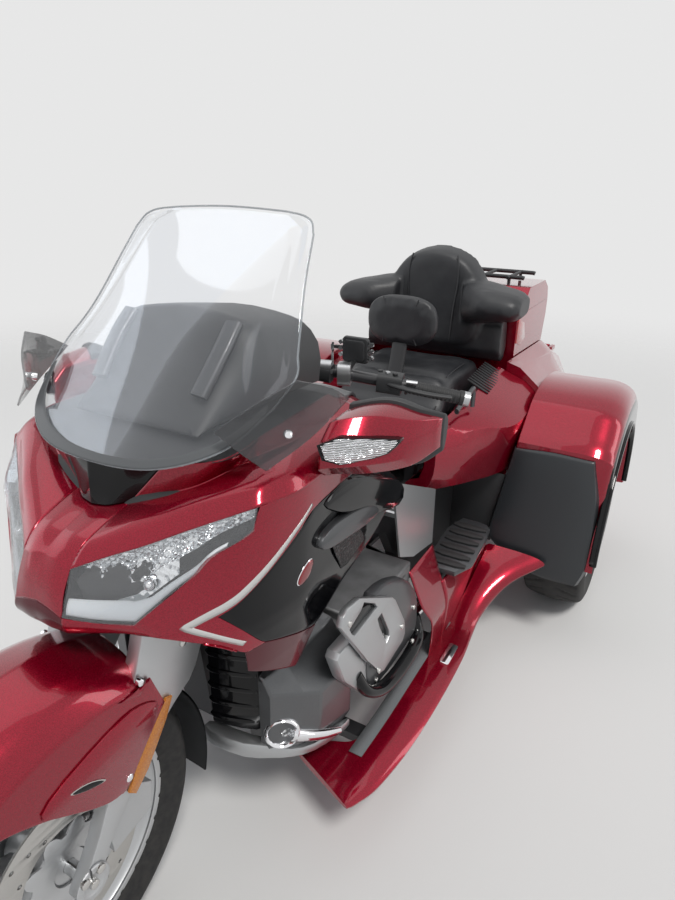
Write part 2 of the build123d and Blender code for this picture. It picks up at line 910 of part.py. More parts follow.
with BuildPart() as backrests:
    with BuildSketch(cross_plane(rider_seat_end + 5)) as pad:
        with Locations((0, 1015)):
            Ellipse(122, 81)
    extrude(pad.sketch, amount=-44)
    stay((0, rider_seat_end - 15, 838), (0, rider_seat_end + 20, 948), 11)
    add(seats.part, mode=Mode.SUBTRACT)
    across(
        [
            (trunk_front - 98, [(0, 880), (150, 880), (186, 960), (184, 1090), (150, 1150), (100, 1200), (0, 1226)]),
            (trunk_front - gap,
             [(0, 880), (160, 880), (200, 960), (196, 1100), (160, 1160), (108, 1212), (0, 1240)]),
        ]
    )
    for name, sign in sides:
        outward(
            [
                (x, [(trunk_front - ahead, height) for ahead, height in corners])
                for x, corners in (
                    (190, ((218, 1006), (20, 985), (10, 1072), (50, 1080), (200, 1078))),
                    (300, ((215, 1006), (18, 990), (10, 1078), (50, 1092), (198, 1090))),
                    (330, ((190, 1022), (25, 1008), (18, 1070), (54, 1082), (178, 1080))),
                )
            ],
            sign,
        )
        slab(
            [
                (trunk_front - 50, 880),
                (trunk_front - 5, 880),
                (trunk_front - 5, 1000),
                (trunk_front - 45, 1000),
            ],
            sign * 140,
            sign * 255,
        )
finish_piece(backrests, "backrests")

# Luggage: open trunk tub, hinged lid, rack
with BuildPart() as trunk:
    slab(
        [
            (trunk_front, trunk_bottom),
            (trunk_rear - 40, trunk_bottom),
            (trunk_rear, trunk_rim - 60),
            (trunk_rear, trunk_rim),
            (trunk_front, trunk_rim),
        ],
        -trunk_half_width,
        trunk_half_width,
    )
    slab(
        [
            (lid_hinge_station + 20, trunk_bottom + trunk_wall),
            (trunk_rear - 40 - trunk_wall, trunk_bottom + trunk_wall),
            (trunk_rear - trunk_wall, trunk_rim - 60),
            (trunk_rear - trunk_wall, trunk_rim + 1),
            (lid_hinge_station + 20, trunk_rim + 1),
        ],
        trunk_wall - trunk_half_width,
        trunk_half_width - trunk_wall,
        mode=Mode.SUBTRACT,
    )
    hinge_height = trunk_rim + gap
    bar(
        (-260, lid_hinge_station, hinge_height),
        (260, lid_hinge_station, hinge_height),
        hinge_radius + running_gap,
        mode=Mode.SUBTRACT,
    )
finish_piece(trunk, "trunk")

with BuildPart() as trunk_lid:
    slab(
        [
            (lid_hinge_station, trunk_rim + gap),
            (trunk_rear, trunk_rim + gap),
            (trunk_rear - 20, 1048),
            (trunk_rear - 80, lid_top),
            (lid_hinge_station + 90, lid_top),
        ],
        -trunk_half_width,
        trunk_half_width,
    )
    slab(
        [
            (lid_hinge_station + 20, trunk_rim - 1),
            (trunk_rear - trunk_wall, trunk_rim - 1),
            (trunk_rear - 26, 1044),
            (trunk_rear - 84, lid_top - trunk_wall),
            (lid_hinge_station + 97, lid_top - trunk_wall),
        ],
        trunk_wall - trunk_half_width,
        trunk_half_width - trunk_wall,
        mode=Mode.SUBTRACT,
    )
    bar((-259, lid_hinge_station, hinge_height), (259, lid_hinge_station, hinge_height), hinge_radius)
finish_piece(trunk_lid, "trunk_lid")

with BuildPart() as luggage_rack:
    for x in (-190, 0, 190):
        stay((x, rack_front - 25, rack_height), (x, rack_rear + 25, rack_height), 6)
        for station in (rack_front, rack_rear):
            stay((x, station, lid_top + gap), (x, station, rack_height), 5)
    for station in (rack_front, rack_rear):
        stay((-236, station, rack_height), (236, station, rack_height), rack_bar_radius)
finish_piece(luggage_rack, "luggage_rack")

# Rear body: tub between the wheels, fenders, guards, boot door
boot_floor = 460.0
boot_roof = 745.0
boot_half = 270.0
fender_inner = 400.0
fender_outer = 690.0
arch_radius = 350.0
fender_side = [
    (wheelbase + behind, height)
    for behind, height in (
        (-358, 300),
        (-312, 652),
        (-270, 715),
        (-190, 780),
        (-30, 815),
        (160, 790),
        (330, 700),
        (450, 560),
        (500, 400),
        (500, 320),
    )
]


def scaled(outline, factor):
    """Side outline shrunk towards the rear axle."""
    return [
        (wheelbase + (station - wheelbase) * factor, rear_radius + (height - rear_radius) * factor)
        for station, height in outline
    ]


body_rear = rear_reach - boot_door_thickness - gap
boot_front = rear_reach - 390
body_side = fender_inner - gap
door_hinge_station = rear_reach - hinge_radius
door_hinge_height = boot_roof + 30
with BuildPart() as rear_body:
    floor = boot_floor - 20
    seat = trunk_bottom - gap
    across(
        [
            (body_front, [(0, floor), (body_side, floor), (body_side, 790), (330, 848), (284, 862), (284, seat), (0, seat)]),
            (rear_reach - 200, [(0, floor), (body_side, floor), (body_side, 700), (330, 800), (284, 840), (284, seat), (0, seat)]),
            (body_rear, [(0, floor), (body_side, floor), (body_side, 600), (330, 740), (284, 775), (280, 770), (0, 770)]),
        ]
    )
    slab(
        [(boot_front, boot_floor), (rear_reach, boot_floor), (rear_reach, boot_roof), (boot_front, boot_roof)],
        -boot_half,
        boot_half,
        mode=Mode.SUBTRACT,
    )
    slab(
        [(body_front - 10, 430), (wheelbase + 170, 430), (wheelbase + 170, 640), (body_front - 10, 640)],
        -200,
        200,
        mode=Mode.SUBTRACT,
    )
    bar((-300, door_hinge_station, door_hinge_height), (300, door_hinge_station, door_hinge_height), hinge_pin_radius)
    for name, sign in sides:
        slab(
            [
                (rear_reach - 60, door_hinge_height - 15),
                (rear_reach - 20, door_hinge_height - 9),
                (rear_reach - 6, door_hinge_height - 9),
                (rear_reach - 1, door_hinge_height),
                (rear_reach - 6, door_hinge_height + 8),
                (rear_reach - 60, door_hinge_height + 8),
            ],
            sign * (boot_half + 22),
            sign * (boot_half + 36),
        )
finish_piece(rear_body, "rear_body")

with BuildPart() as boot_door:
    door_half = boot_half + 16
    slab(
        [
            (rear_reach - boot_door_thickness, boot_floor + 4),
            (rear_reach, boot_floor + 4),
            (rear_reach, door_hinge_height),
            (rear_reach - boot_door_thickness, door_hinge_height),
        ],
        -door_half,
        door_half,
    )
    bar((-door_half, door_hinge_station, door_hinge_height), (door_half, door_hinge_station, door_hinge_height),
        hinge_radius)
    bar((-door_half - 1, door_hinge_station, door_hinge_height), (door_half + 1, door_hinge_station, door_hinge_height),
        hinge_pin_radius + running_gap, mode=Mode.SUBTRACT)
    with BuildSketch(cross_plane(rear_reach - boot_door_thickness - 1)):
        with Locations((0, plate_height)):
            with GridLocations(plate_spacing_x, plate_spacing_z, 2, 2):
                Circle(plate_hole_radius)
    extrude(amount=-boot_door_thickness - 2, mode=Mode.SUBTRACT)
finish_piece(boot_door, "boot_door")

with BuildPart() as rear_fenders:
    for name, sign in sides:
        outward(
            [
                (fender_inner, fender_side),
                (600, fender_side),
                (660, scaled(fender_side, 0.97)),
                (fender_outer, scaled(fender_side, 0.88)),
            ],
            sign,
        )
        with BuildSketch(side_plane(sign * 452)):
            with Locations((wheelbase, rear_radius)):
                Circle(arch_radius)
        extrude(amount=sign * 300, mode=Mode.SUBTRACT)
        with BuildSketch(side_plane(sign * 300)):
            with Locations((wheelbase, rear_radius)):
                Circle(170)
        extrude(amount=sign * 300, mode=Mode.SUBTRACT)
finish_piece(rear_fenders, "rear_fenders")

with BuildPart() as fender_guards:
    for name, sign in sides:
        slab(
            [
                (wheelbase - 374, 240),
                (wheelbase - 362, 240),
                (wheelbase - 358 - gap, 300),
                (wheelbase - 312 - gap, 652),
                (wheelbase - 324, 652),
            ],
            sign * 345,
            sign * 668,
        )
    for name, sign in sides:
        with BuildSketch(cross_plane(wheelbase - 490)):
            with BuildLine():
                Polyline(
                    [(sign * x, z) for x, z in ((350, 350), (388, 648), (636, 640), (668, 262), (512, 244))],
                    close=True,
                )
            make_face()
    extrude(amount=-300, mode=Mode.INTERSECT)
finish_piece(fender_guards, "fender_guards")

with BuildPart() as side_covers:
    for name, sign in sides:
        one_side(
            [
                (1180, [(150.4, 556), (208, 560), (240, 620), (246, 690), (238, 750), (208, 765), (208, 620),
                        (150.4, 600)]),
                (1330, [(150.4, 545), (300, 550), (320, 620), (326, 690), (312, 765), (208, 800), (208, 620),
                        (150.4, 600)]),
                (1480, [(150.4, 545), (368, 545), (379, 620), (394, 690), (395, 745), (208, 840), (208, 620),
                        (150.4, 600)]),
                (body_front - gap, [(150.4, 545), (396, 545), (398, 620), (399, 700), (399, 790), (208, 862),
                              (208, 620), (150.4, 600)]),
            ],
            sign,
        )
    slab([(1215, 820), (1220, 832), (1372, 862), (1385, 770), (1368, 770), (1358, 848)], 272, 286)
finish_piece(side_covers, "side_covers")

with BuildPart() as heat_shields:
    for name, sign in sides:
        slab(
            [(780, 745), (800, 784), (1045, 665), (1050, 497), (915, 525), (826, 572)],
            sign * 294,
            sign * 299,
        )
        for station, height in ((800, 700), (990, 600)):
            stay((sign * 140, station, height), (sign * 295, station, height), 8)
    add(main_frame.part, mode=Mode.SUBTRACT)
finish_piece(heat_shields, "heat_shields")

# Boards under the rider's feet and the passenger's floorboards
with BuildPart() as running_boards:
    for name, sign in sides:
        with BuildSketch(Plane.XY) as plan:
            with BuildLine():
                Polyline(
                    [
                        (sign * x, front_axle_y + station)
                        for x, station in (
                            (205, 500),
                            (378, 440),
                            (428, 690),
                            (429, 990),
                            (414, 1215),
                            (470, wheelbase - 460),
                            (556, wheelbase - 385),
                            (440, wheelbase - 385),
                            (345, 1160),
                            (330, 600),
                            (215, 560),
                        )
                    ],
                    close=True,
                )
            make_face()
        extrude(plan.sketch, amount=500)
    slab(
            [
                (436, board_bottom + 18),
                (480, board_bottom),
                (1130, board_bottom),
                (wheelbase - 530, 195),
                (wheelbase - 380, 295),
                (wheelbase - 380, 335),
                (wheelbase - 550, 240),
                (1110, board_bottom + board_thickness),
                (436, board_bottom + board_thickness),
            ],
            -700,
            700,
            mode=Mode.INTERSECT,
        )
    for name, sign in sides:
        for front, rear, top in ((900, 1050, True), (1045, 1400, False)):
            wall_half = [(345, 160), (356, 318), (338, 385)]
            if top:
                wall_half += [(304, 490), (297, 488)]
            wall_half += [(330, 383), (347, 318), (334, 160)]
            one_side([(front, wall_half), (rear, wall_half)], sign)
finish_piece(running_boards, "running_boards")

with BuildPart() as floorboards:
    for name, sign in sides:
        slab([(1060, 395), (1330, 425), (1330, 450), (1060, 420)], sign * 270, sign * 400)
        slab([(1160, 414), (1200, 416), (1200, 340), (1160, 380)], sign * (spar_inner + spar_thickness + gap), sign * 300)
finish_piece(floorboards, "floorboards")

# Rear axle: differential, half shafts, arms and stub axles
with BuildPart() as rear_axle:
    with BuildSketch(side_plane(-130)):
        with Locations((wheelbase, rear_radius)):
            Circle(100)
    extrude(amount=260)
    stay((0, 1042.4, 345), (0, body_front, rear_radius), 40)
    for name, sign in sides:
        stay((sign * 120, wheelbase, rear_radius), (sign * 400, wheelbase, rear_radius), 20)
        bar((sign * 400, wheelbase, rear_radius), (sign * (rear_wheel_x + 60), wheelbase, rear_radius), rear_axle_radius)
        slab(
            [(wheelbase - 40, 240), (wheelbase + 40, 240), (wheelbase + 40, 400), (wheelbase - 40, 400)],
            sign * 400,
            sign * 440,
        )
        slab(
            [
                (wheelbase - 20, 300),
                (wheelbase + 20, 300),
                (wheelbase + 20, boot_floor - 20 - gap),
                (wheelbase - 20, boot_floor - 20 - gap),
            ],
            sign * 215,
            sign * 240,
        )
        for height in (262, 378):
            for station in (wheelbase - 90, wheelbase + 90):
                stay((sign * 100, station, height), (sign * 410, wheelbase, height), 12)
finish_piece(rear_axle, "rear_axle")

with BuildPart() as exhaust:
    for name, sign in sides:
        stay((sign * 245, 1250, 185), (sign * 245, rear_reach - 60, 185), 48, facets=16)
        bar((sign * 245, rear_reach - 60, 185), (sign * 245, rear_reach - 5, 185), 36)
        bar((sign * 245, rear_reach - 110, 185), (sign * 245, rear_reach - 5, 185), 30, mode=Mode.SUBTRACT)
        stay((sign * 200, 900, 190), (sign * 245, 1260, 185), 24)
        slab(
            [
                (rear_reach - 250, 225),
                (rear_reach - 220, 225),
                (rear_reach - 220, boot_floor - 20 - gap),
                (rear_reach - 250, boot_floor - 20 - gap),
            ],
            sign * 240,
            sign * 250,
        )
finish_piece(exhaust, "exhaust")

with BuildPart() as tail_lamps:
    for name, sign in sides:
        slab(
            [(body_rear + gap, 470), (rear_reach - 4, 470), (rear_reach - 4, 620), (body_rear + gap, 620)],
            sign * 315,
            sign * 370,
        )
finish_piece(tail_lamps, "tail_lamps")
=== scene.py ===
import math
import bpy
import bmesh
import numpy as np
from mathutils import Matrix, Vector


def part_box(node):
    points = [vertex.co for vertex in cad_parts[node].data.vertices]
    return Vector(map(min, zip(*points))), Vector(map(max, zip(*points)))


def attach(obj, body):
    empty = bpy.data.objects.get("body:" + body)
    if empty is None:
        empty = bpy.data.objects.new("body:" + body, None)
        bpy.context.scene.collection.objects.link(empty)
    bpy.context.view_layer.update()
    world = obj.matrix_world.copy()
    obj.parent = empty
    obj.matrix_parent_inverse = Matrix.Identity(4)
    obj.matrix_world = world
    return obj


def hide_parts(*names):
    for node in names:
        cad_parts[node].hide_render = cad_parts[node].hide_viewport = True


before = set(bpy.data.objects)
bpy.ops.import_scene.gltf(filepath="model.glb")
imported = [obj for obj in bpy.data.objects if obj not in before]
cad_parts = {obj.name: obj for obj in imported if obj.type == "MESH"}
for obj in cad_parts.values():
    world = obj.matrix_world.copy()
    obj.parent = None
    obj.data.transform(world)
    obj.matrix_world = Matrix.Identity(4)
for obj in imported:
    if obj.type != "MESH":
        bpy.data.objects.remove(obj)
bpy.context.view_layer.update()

# Front wheel: a road tyre on a cast aluminium rim with ten spokes, between two steel brake discs.
# The tyre is moulded rubber with cut grooves; the rim is painted silver and machined at its edge.
# Stations run rearwards from the front axle and heights up from the ground, both in millimetres.
axle_y = float(np.mean([corner[1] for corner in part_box("front_rim")]))
axle_height = 318
wheelbase = 1790


def at(x, station, height):
    """Width, station and height in millimetres as points in metres, stacked on the last axis."""
    x, station, height = np.broadcast_arrays(*(np.asarray(v, float) for v in (x, station, height)))
    return np.stack([x / 1000, axle_y + station / 1000, height / 1000], axis=-1)


def along(points, count, sharp=()):
    """Catmull-Rom curve through points, evenly spaced by length, broken at the sharp indices."""
    points = np.asarray(points, float)
    cuts = [0, *sorted(sharp), len(points) - 1]
    dense = []
    for first, last in zip(cuts[:-1], cuts[1:]):
        part = points[first:last + 1]
        ends = np.vstack([2 * part[0] - part[1], part, 2 * part[-1] - part[-2]])
        u = np.linspace(0, 1, 24, endpoint=False)[:, None]
        for a, b, c, d in zip(ends[:-3], ends[1:-2], ends[2:-1], ends[3:]):
            dense.append(0.5 * (2 * b + (c - a) * u + (2 * a - 5 * b + 4 * c - d) * u ** 2
                                + (3 * b - a - 3 * c + d) * u ** 3))
    dense = np.vstack([*dense, points[-1:]])
    steps = np.concatenate([[0], np.cumsum(np.linalg.norm(np.diff(dense, axis=0), axis=1))])
    where = np.linspace(0, steps[-1], count)
    return np.stack([np.interp(where, steps, dense[:, k]) for k in range(points.shape[1])], axis=-1)


def patch(top, bottom, left, right, bulge=0.0):
    """Coons patch: rows blended from top to bottom, columns from left to right, corners taken off once,
    then pushed out along its mean normal by bulge times sin(pi u) sin(pi v)."""
    u = np.linspace(0, 1, len(top))[None, :, None]
    v = np.linspace(0, 1, len(left))[:, None, None]
    rows = (1 - v) * top[None] + v * bottom[None]
    columns = (1 - u) * left[:, None] + u * right[:, None]
    corners = ((1 - v) * ((1 - u) * top[0] + u * top[-1]) + v * ((1 - u) * bottom[0] + u * bottom[-1]))
    grid = rows + columns - corners
    if bulge:
        normal = np.cross(top[-1] - bottom[0], bottom[-1] - top[0])
        normal /= np.linalg.norm(normal)
        grid = grid + normal * (bulge / 1000 * np.sin(np.pi * u) * np.sin(np.pi * v))
    return grid


def spun(profile, centre, count=96, twist=None):
    """Surface of revolution about a wheel's axle: (width, radius) pairs turned through a full circle."""
    profile = np.asarray(profile, float)
    angle = np.linspace(0, 2 * np.pi, count, endpoint=False)[:, None]
    width, radius = profile[None, :, 0], profile[None, :, 1]
    if twist is not None:
        radius = radius + twist(angle, width)
    cx, station, height = centre
    return at(cx + width + 0 * angle, station + radius * np.sin(angle), height + radius * np.cos(angle))


def swept(path, section, up=(0, 0, 1), size=None, closed_ends=True):
    """Section of (side, up) pairs carried along a path, turned with its direction and scaled by size."""
    path = np.asarray(path, float)
    section = np.asarray(section, float)
    ahead = np.gradient(path, axis=0)
    ahead /= np.linalg.norm(ahead, axis=1, keepdims=True)
    side = np.cross(ahead, np.asarray(up, float))
    side /= np.linalg.norm(side, axis=1, keepdims=True)
    top = np.cross(side, ahead)
    scale = np.ones(len(path)) if size is None else np.asarray(size, float)
    scale = scale.reshape(len(path), 1, -1)
    grid = (path[:, None] + side[:, None] * (section[None, :, :1] * scale[..., :1])
            + top[:, None] * (section[None, :, 1:] * scale[..., -1:]))
    if closed_ends:
        first = np.broadcast_to(grid[:1].mean(1, keepdims=True), grid[:1].shape)
        last = np.broadcast_to(grid[-1:].mean(1, keepdims=True), grid[-1:].shape)
        grid = np.concatenate([first, grid, last])
    return grid


def ring(width, height, count=20, power=2.0):
    """Closed section: a superellipse, round at power 2 and squarer above it, in metres."""
    angle = np.linspace(0, 2 * np.pi, count, endpoint=False)
    c, s = np.cos(angle), np.sin(angle)
    return np.stack([width / 2 * np.sign(c) * np.abs(c) ** (2 / power),
                     height / 2 * np.sign(s) * np.abs(s) ** (2 / power)], axis=-1)


def mirrored(*grids):
    """The grids of the left side with their copies on the right."""
    return [part for grid in grids for part in (grid, grid * np.array([-1.0, 1.0, 1.0]))]


def quads(rows, columns, wrap_rows, wrap_columns):
    """Corner numbers of the faces of a grid, joined round where it wraps."""
    number = np.arange(rows * columns).reshape(rows, columns)
    if wrap_rows:
        number = np.vstack([number, number[:1]])
    if wrap_columns:
        number = np.hstack([number, number[:, :1]])
    return np.stack([number[:-1, :-1], number[:-1, 1:], number[1:, 1:], number[1:, :-1]], -1).reshape(-1, 4)


def panel(name, parts, finish, stands_for=None, slot=None, body="chassis", wall=0.0, round_by=0.0, angle=38,
          core=None):
    """Object from (grid, wraps round its rows, wraps round its columns, finish number) parts. Each grid's
    faces are turned away from core, or outwards by the sign of the grid's own volume."""
    corners, faces, marks, total = [], [], [], 0
    for part in parts:
        grid, wrap_rows, wrap_columns, mark = (*part, *(False, False, 0)[len(part) - 1:]) \
            if isinstance(part, tuple) else (part, False, False, 0)
        face = quads(grid.shape[0], grid.shape[1], wrap_rows, wrap_columns)
        flat = grid.reshape(-1, 3)
        a, b, c, d = (flat[face[:, k]] for k in range(4))
        middle = (a + b + c + d) / 4
        inner = flat.mean(0) if core is None else np.array([math.copysign(abs(core[0]), flat[:, 0].mean()),
                                                            *core[1:]])
        if (np.cross(c - a, d - b) * (middle - inner)).sum() < 0:
            face = face[:, ::-1]
        corners.append(flat)
        faces.append(face + total)
        marks.append(np.full(len(face), mark))
        total += len(flat)
    mesh = bpy.data.meshes.new(name)
    mesh.from_pydata(np.vstack(corners), [], np.vstack(faces))
    for one in (finish if isinstance(finish, (list, tuple)) else [finish]):
        mesh.materials.append(one.material)
    mesh.polygons.foreach_set("material_index", np.concatenate(marks).astype(np.int32))
    return fitted(name, mesh, stands_for, slot, body, wall, round_by, angle, False)


def fitted(name, mesh, stands_for=None, slot=None, body="chassis", wall=0.0, round_by=0.0, angle=38, turn=True):
    """Object of a mesh with its doubles merged, a wall of its own thickness and round edges."""
    work = bmesh.new()
    work.from_mesh(mesh)
    bmesh.ops.remove_doubles(work, verts=work.verts, dist=3e-5)
    bmesh.ops.dissolve_degenerate(work, edges=work.edges, dist=1e-5)
    if turn:
        bmesh.ops.recalc_face_normals(work, faces=work.faces)
    work.to_mesh(mesh)
    work.free()
    mesh.shade_smooth()
    mesh.set_sharp_from_angle(angle=math.radians(angle))
    piece = bpy.data.objects.new(name, mesh)
    bpy.context.scene.collection.objects.link(piece)
    if wall:
        thick = piece.modifiers.new("wall", "SOLIDIFY")
        thick.thickness = abs(wall) / 1000
        thick.offset = -1 if wall > 0 else 1
    if round_by:
        soft = piece.modifiers.new("round", "BEVEL")
        soft.width = round_by / 1000
        soft.segments = 2
        soft.limit_method = "ANGLE"
        soft.angle_limit = math.radians(angle)
    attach(piece, body)
    if stands_for:
        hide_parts(stands_for)
    return piece


def softened(name, node, width, finish, slot, angle=30, body="chassis"):
    """A CAD solid's copy with its loose triangles merged, flat faces joined and edges rounded."""
    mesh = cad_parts[node].data.copy()
    mesh.name = name
    work = bmesh.new()
    work.from_mesh(mesh)
    bmesh.ops.remove_doubles(work, verts=work.verts, dist=1e-5)
    bmesh.ops.dissolve_limit(work, angle_limit=math.radians(2), verts=work.verts, edges=work.edges)
    work.to_mesh(mesh)
    work.free()
    mesh.materials.clear()
    mesh.materials.append(finish.material)
    piece = fitted(name, mesh, node, slot, body, 0, width, angle, False)
    piece.modifiers["round"].segments = 3
    return piece


def cutout(outlines, low, high, lift, soft=1.5):
    """Flat plate between two levels from closed outlines, the later ones holes, lifted into place."""
    shape = bpy.data.curves.new("outline", "CURVE")
    shape.dimensions = "2D"
    shape.fill_mode = "BOTH"
    shape.extrude = (high - low) / 2 - soft
    shape.bevel_depth = soft
    shape.bevel_resolution = 1
    shape.offset = -soft
    for outline in outlines:
        outline = np.asarray(outline, float)
        run = shape.splines.new("POLY")
        run.points.add(len(outline) - 1)
        run.points.foreach_set("co", np.hstack([outline, np.zeros((len(outline), 1)),
                                                np.ones((len(outline), 1))]).ravel())
        run.use_cyclic_u = True
    holder = bpy.data.objects.new("outline", shape)
    bpy.context.scene.collection.objects.link(holder)
    bpy.context.view_layer.update()
    mesh = bpy.data.meshes.new_from_object(holder.evaluated_get(bpy.context.evaluated_depsgraph_get()))
    bpy.data.objects.remove(holder)
    bpy.data.curves.remove(shape)
    flat = np.empty(len(mesh.vertices) * 3)
    mesh.vertices.foreach_get("co", flat)
    flat = flat.reshape(-1, 3)
    mesh.vertices.foreach_set("co", lift(flat[:, 0], flat[:, 1], flat[:, 2] + (high + low) / 2).ravel())
    return mesh


def joined(name, meshes, finish):
    """One mesh out of several, each with the finish of its own number."""
    work = bmesh.new()
    for number, mesh in meshes:
        first = len(work.faces)
        work.from_mesh(mesh)
        work.faces.ensure_lookup_table()
        for face in work.faces[first:]:
            face.material_index = number
        bpy.data.meshes.remove(mesh)
    made = bpy.data.meshes.new(name)
    work.to_mesh(made)
    work.free()
    for one in finish:
        made.materials.append(one.material)
    return made


def rounded(outline, times=2):
    """Closed outline with its corners cut at a quarter of each side, several times over."""
    outline = np.asarray(outline, float)
    for _ in range(times):
        after = np.roll(outline, -1, axis=0)
        outline = np.stack([0.75 * outline + 0.25 * after, 0.25 * outline + 0.75 * after], 1)
        outline = outline.reshape(-1, outline.shape[-1])
    return outline


def through(stack, rows):
    """Catmull-Rom surface through a stack of like curves, with about rows rows, evenly shared out."""
    stack = np.asarray(stack, float)
    share = max(1, round(rows / (len(stack) - 1)))
    ends = np.concatenate([2 * stack[:1] - stack[1:2], stack, 2 * stack[-1:] - stack[-2:-1]])
    u = (np.arange(share) / share).reshape(-1, 1, 1)
    bands = [0.5 * (2 * b + (c - a) * u + (2 * a - 5 * b + 4 * c - d) * u ** 2 + (3 * b - a - 3 * c + d) * u ** 3)
             for a, b, c, d in zip(ends[:-3, None], ends[1:-2, None], ends[2:-1, None], ends[3:, None])]
    return np.concatenate([*bands, stack[-1:]])


def loft(sections, rows=24, soft=2, straight=False):
    """Closed body through like closed sections whose corners are cut soft times, with both ends closed."""
    stack = np.stack([rounded(section, soft) for section in sections])
    grid = stack if straight else through(stack, rows)
    first = np.broadcast_to(grid[:1].mean(1, keepdims=True), grid[:1].shape)
    last = np.broadcast_to(grid[-1:].mean(1, keepdims=True), grid[-1:].shape)
    return (np.concatenate([first, grid, last]), False, True, 0)


def circle(radius, count, centre=(0.0, 0.0)):
    """Closed round outline of count corners."""
    angle = np.linspace(0, 2 * np.pi, count, endpoint=False)
    return np.stack([centre[0] + radius * np.cos(angle), centre[1] + radius * np.sin(angle)], axis=-1)


def placed(points):
    """Millimetre points with (x, station, z) on their last axis, put in the frame."""
    return at(*np.moveaxis(points, -1, 0))


def curve(points, count=30, sharp=()):
    """Space curve through (x, station, z) points."""
    return at(*along(points, count, sharp).T)


def drawn(top, bottom, left, right, across=30, down=30, bulge=0.0):
    """Coons patch between four curves given by their points."""
    return patch(curve(top, across), curve(bottom, across), curve(left, down), curve(right, down), bulge)


def rod(points, count, section, up=(0, 0, 1), size=None):
    """Bar along a curve, from a ring section's width, height, corners and power."""
    return swept(curve(points, count), ring(*section), up=up, size=size), False, True, 0


def rods(points, *rest, **more):
    """The same bar on the left and the right."""
    return [rod([(sign * x, station, z) for x, station, z in points], *rest, **more) for sign in (1, -1)]


def flanks(outlines, low, high, soft, mark=0, rise=0.0):
    """Plates upright on both sides, drawn in station and height, between two distances from the middle."""
    return [(mark, cutout(outlines, low, high, lambda u, v, w, sign=sign: at(sign * w, u, v + rise), soft))
            for sign in (1, -1)]


def shelves(outlines, low, high, soft, mark=0, rise=lambda u, v, w: 0):
    """Plates lying flat on both sides, drawn in width and station, between two heights raised by rise."""
    return [(mark, cutout(outlines, low, high, lambda u, v, w, sign=sign: at(sign * u, v, w + rise(u, v, w)), soft))
            for sign in (1, -1)]


def plates(name, parts, finishes, *rest, **more):
    """Object of several plates, each with the finish of its own number."""
    return fitted(name, joined(name, parts, finishes), *rest, **more)


def wrapped(*grids):
    """The grids as closed tubes for both sides."""
    return [(grid, False, True, 0) for grid in mirrored(*grids)]


def outward(spots):
    """Bolt places on both sides, each with its direction straight out."""
    return [(sign * x, station, z, sign, 0, 0) for sign in (1, -1) for x, station, z in spots]


def hull(table, rows, soft):
    """Body through (station, half outline) sections, the same on its left and right."""
    return loft([at(*zip(*[(x, station, z) for x, z in whole(half)])) for station, half in table], rows, soft)


def side_lofts(table, rows, soft):
    """Body on each side through (distance from the middle, outline in station and height) sections."""
    return [loft([at(sign * x, *zip(*corners)) for x, corners in table], rows, soft) for sign in (1, -1)]


def long_lofts(table, rows, soft, straight=False):
    """Body on each side through (station, outline in width and height) sections."""
    return [loft([at(sign * np.array(corners, float)[:, 0], station, np.array(corners, float)[:, 1])
                  for station, corners in table], rows, soft, straight) for sign in (1, -1)]


def whole(half):
    """Corners of a section given from the centre outwards on the left, with its right side added."""
    return [*half, *[(-x, z) for x, z in reversed(half) if x > 0]]


class Wire:
    """A socket that takes part in sums, so shader maths reads as plain expressions."""

    def __init__(self, shade, socket):
        self.shade, self.socket = shade, socket

    def _with(self, operation, first, second):
        return self.shade.node("ShaderNodeMath", {"operation": operation}, {0: first, 1: second})

    def __add__(self, other): return self._with("ADD", self, other)
    def __radd__(self, other): return self._with("ADD", other, self)
    def __mul__(self, other): return self._with("MULTIPLY", self, other)


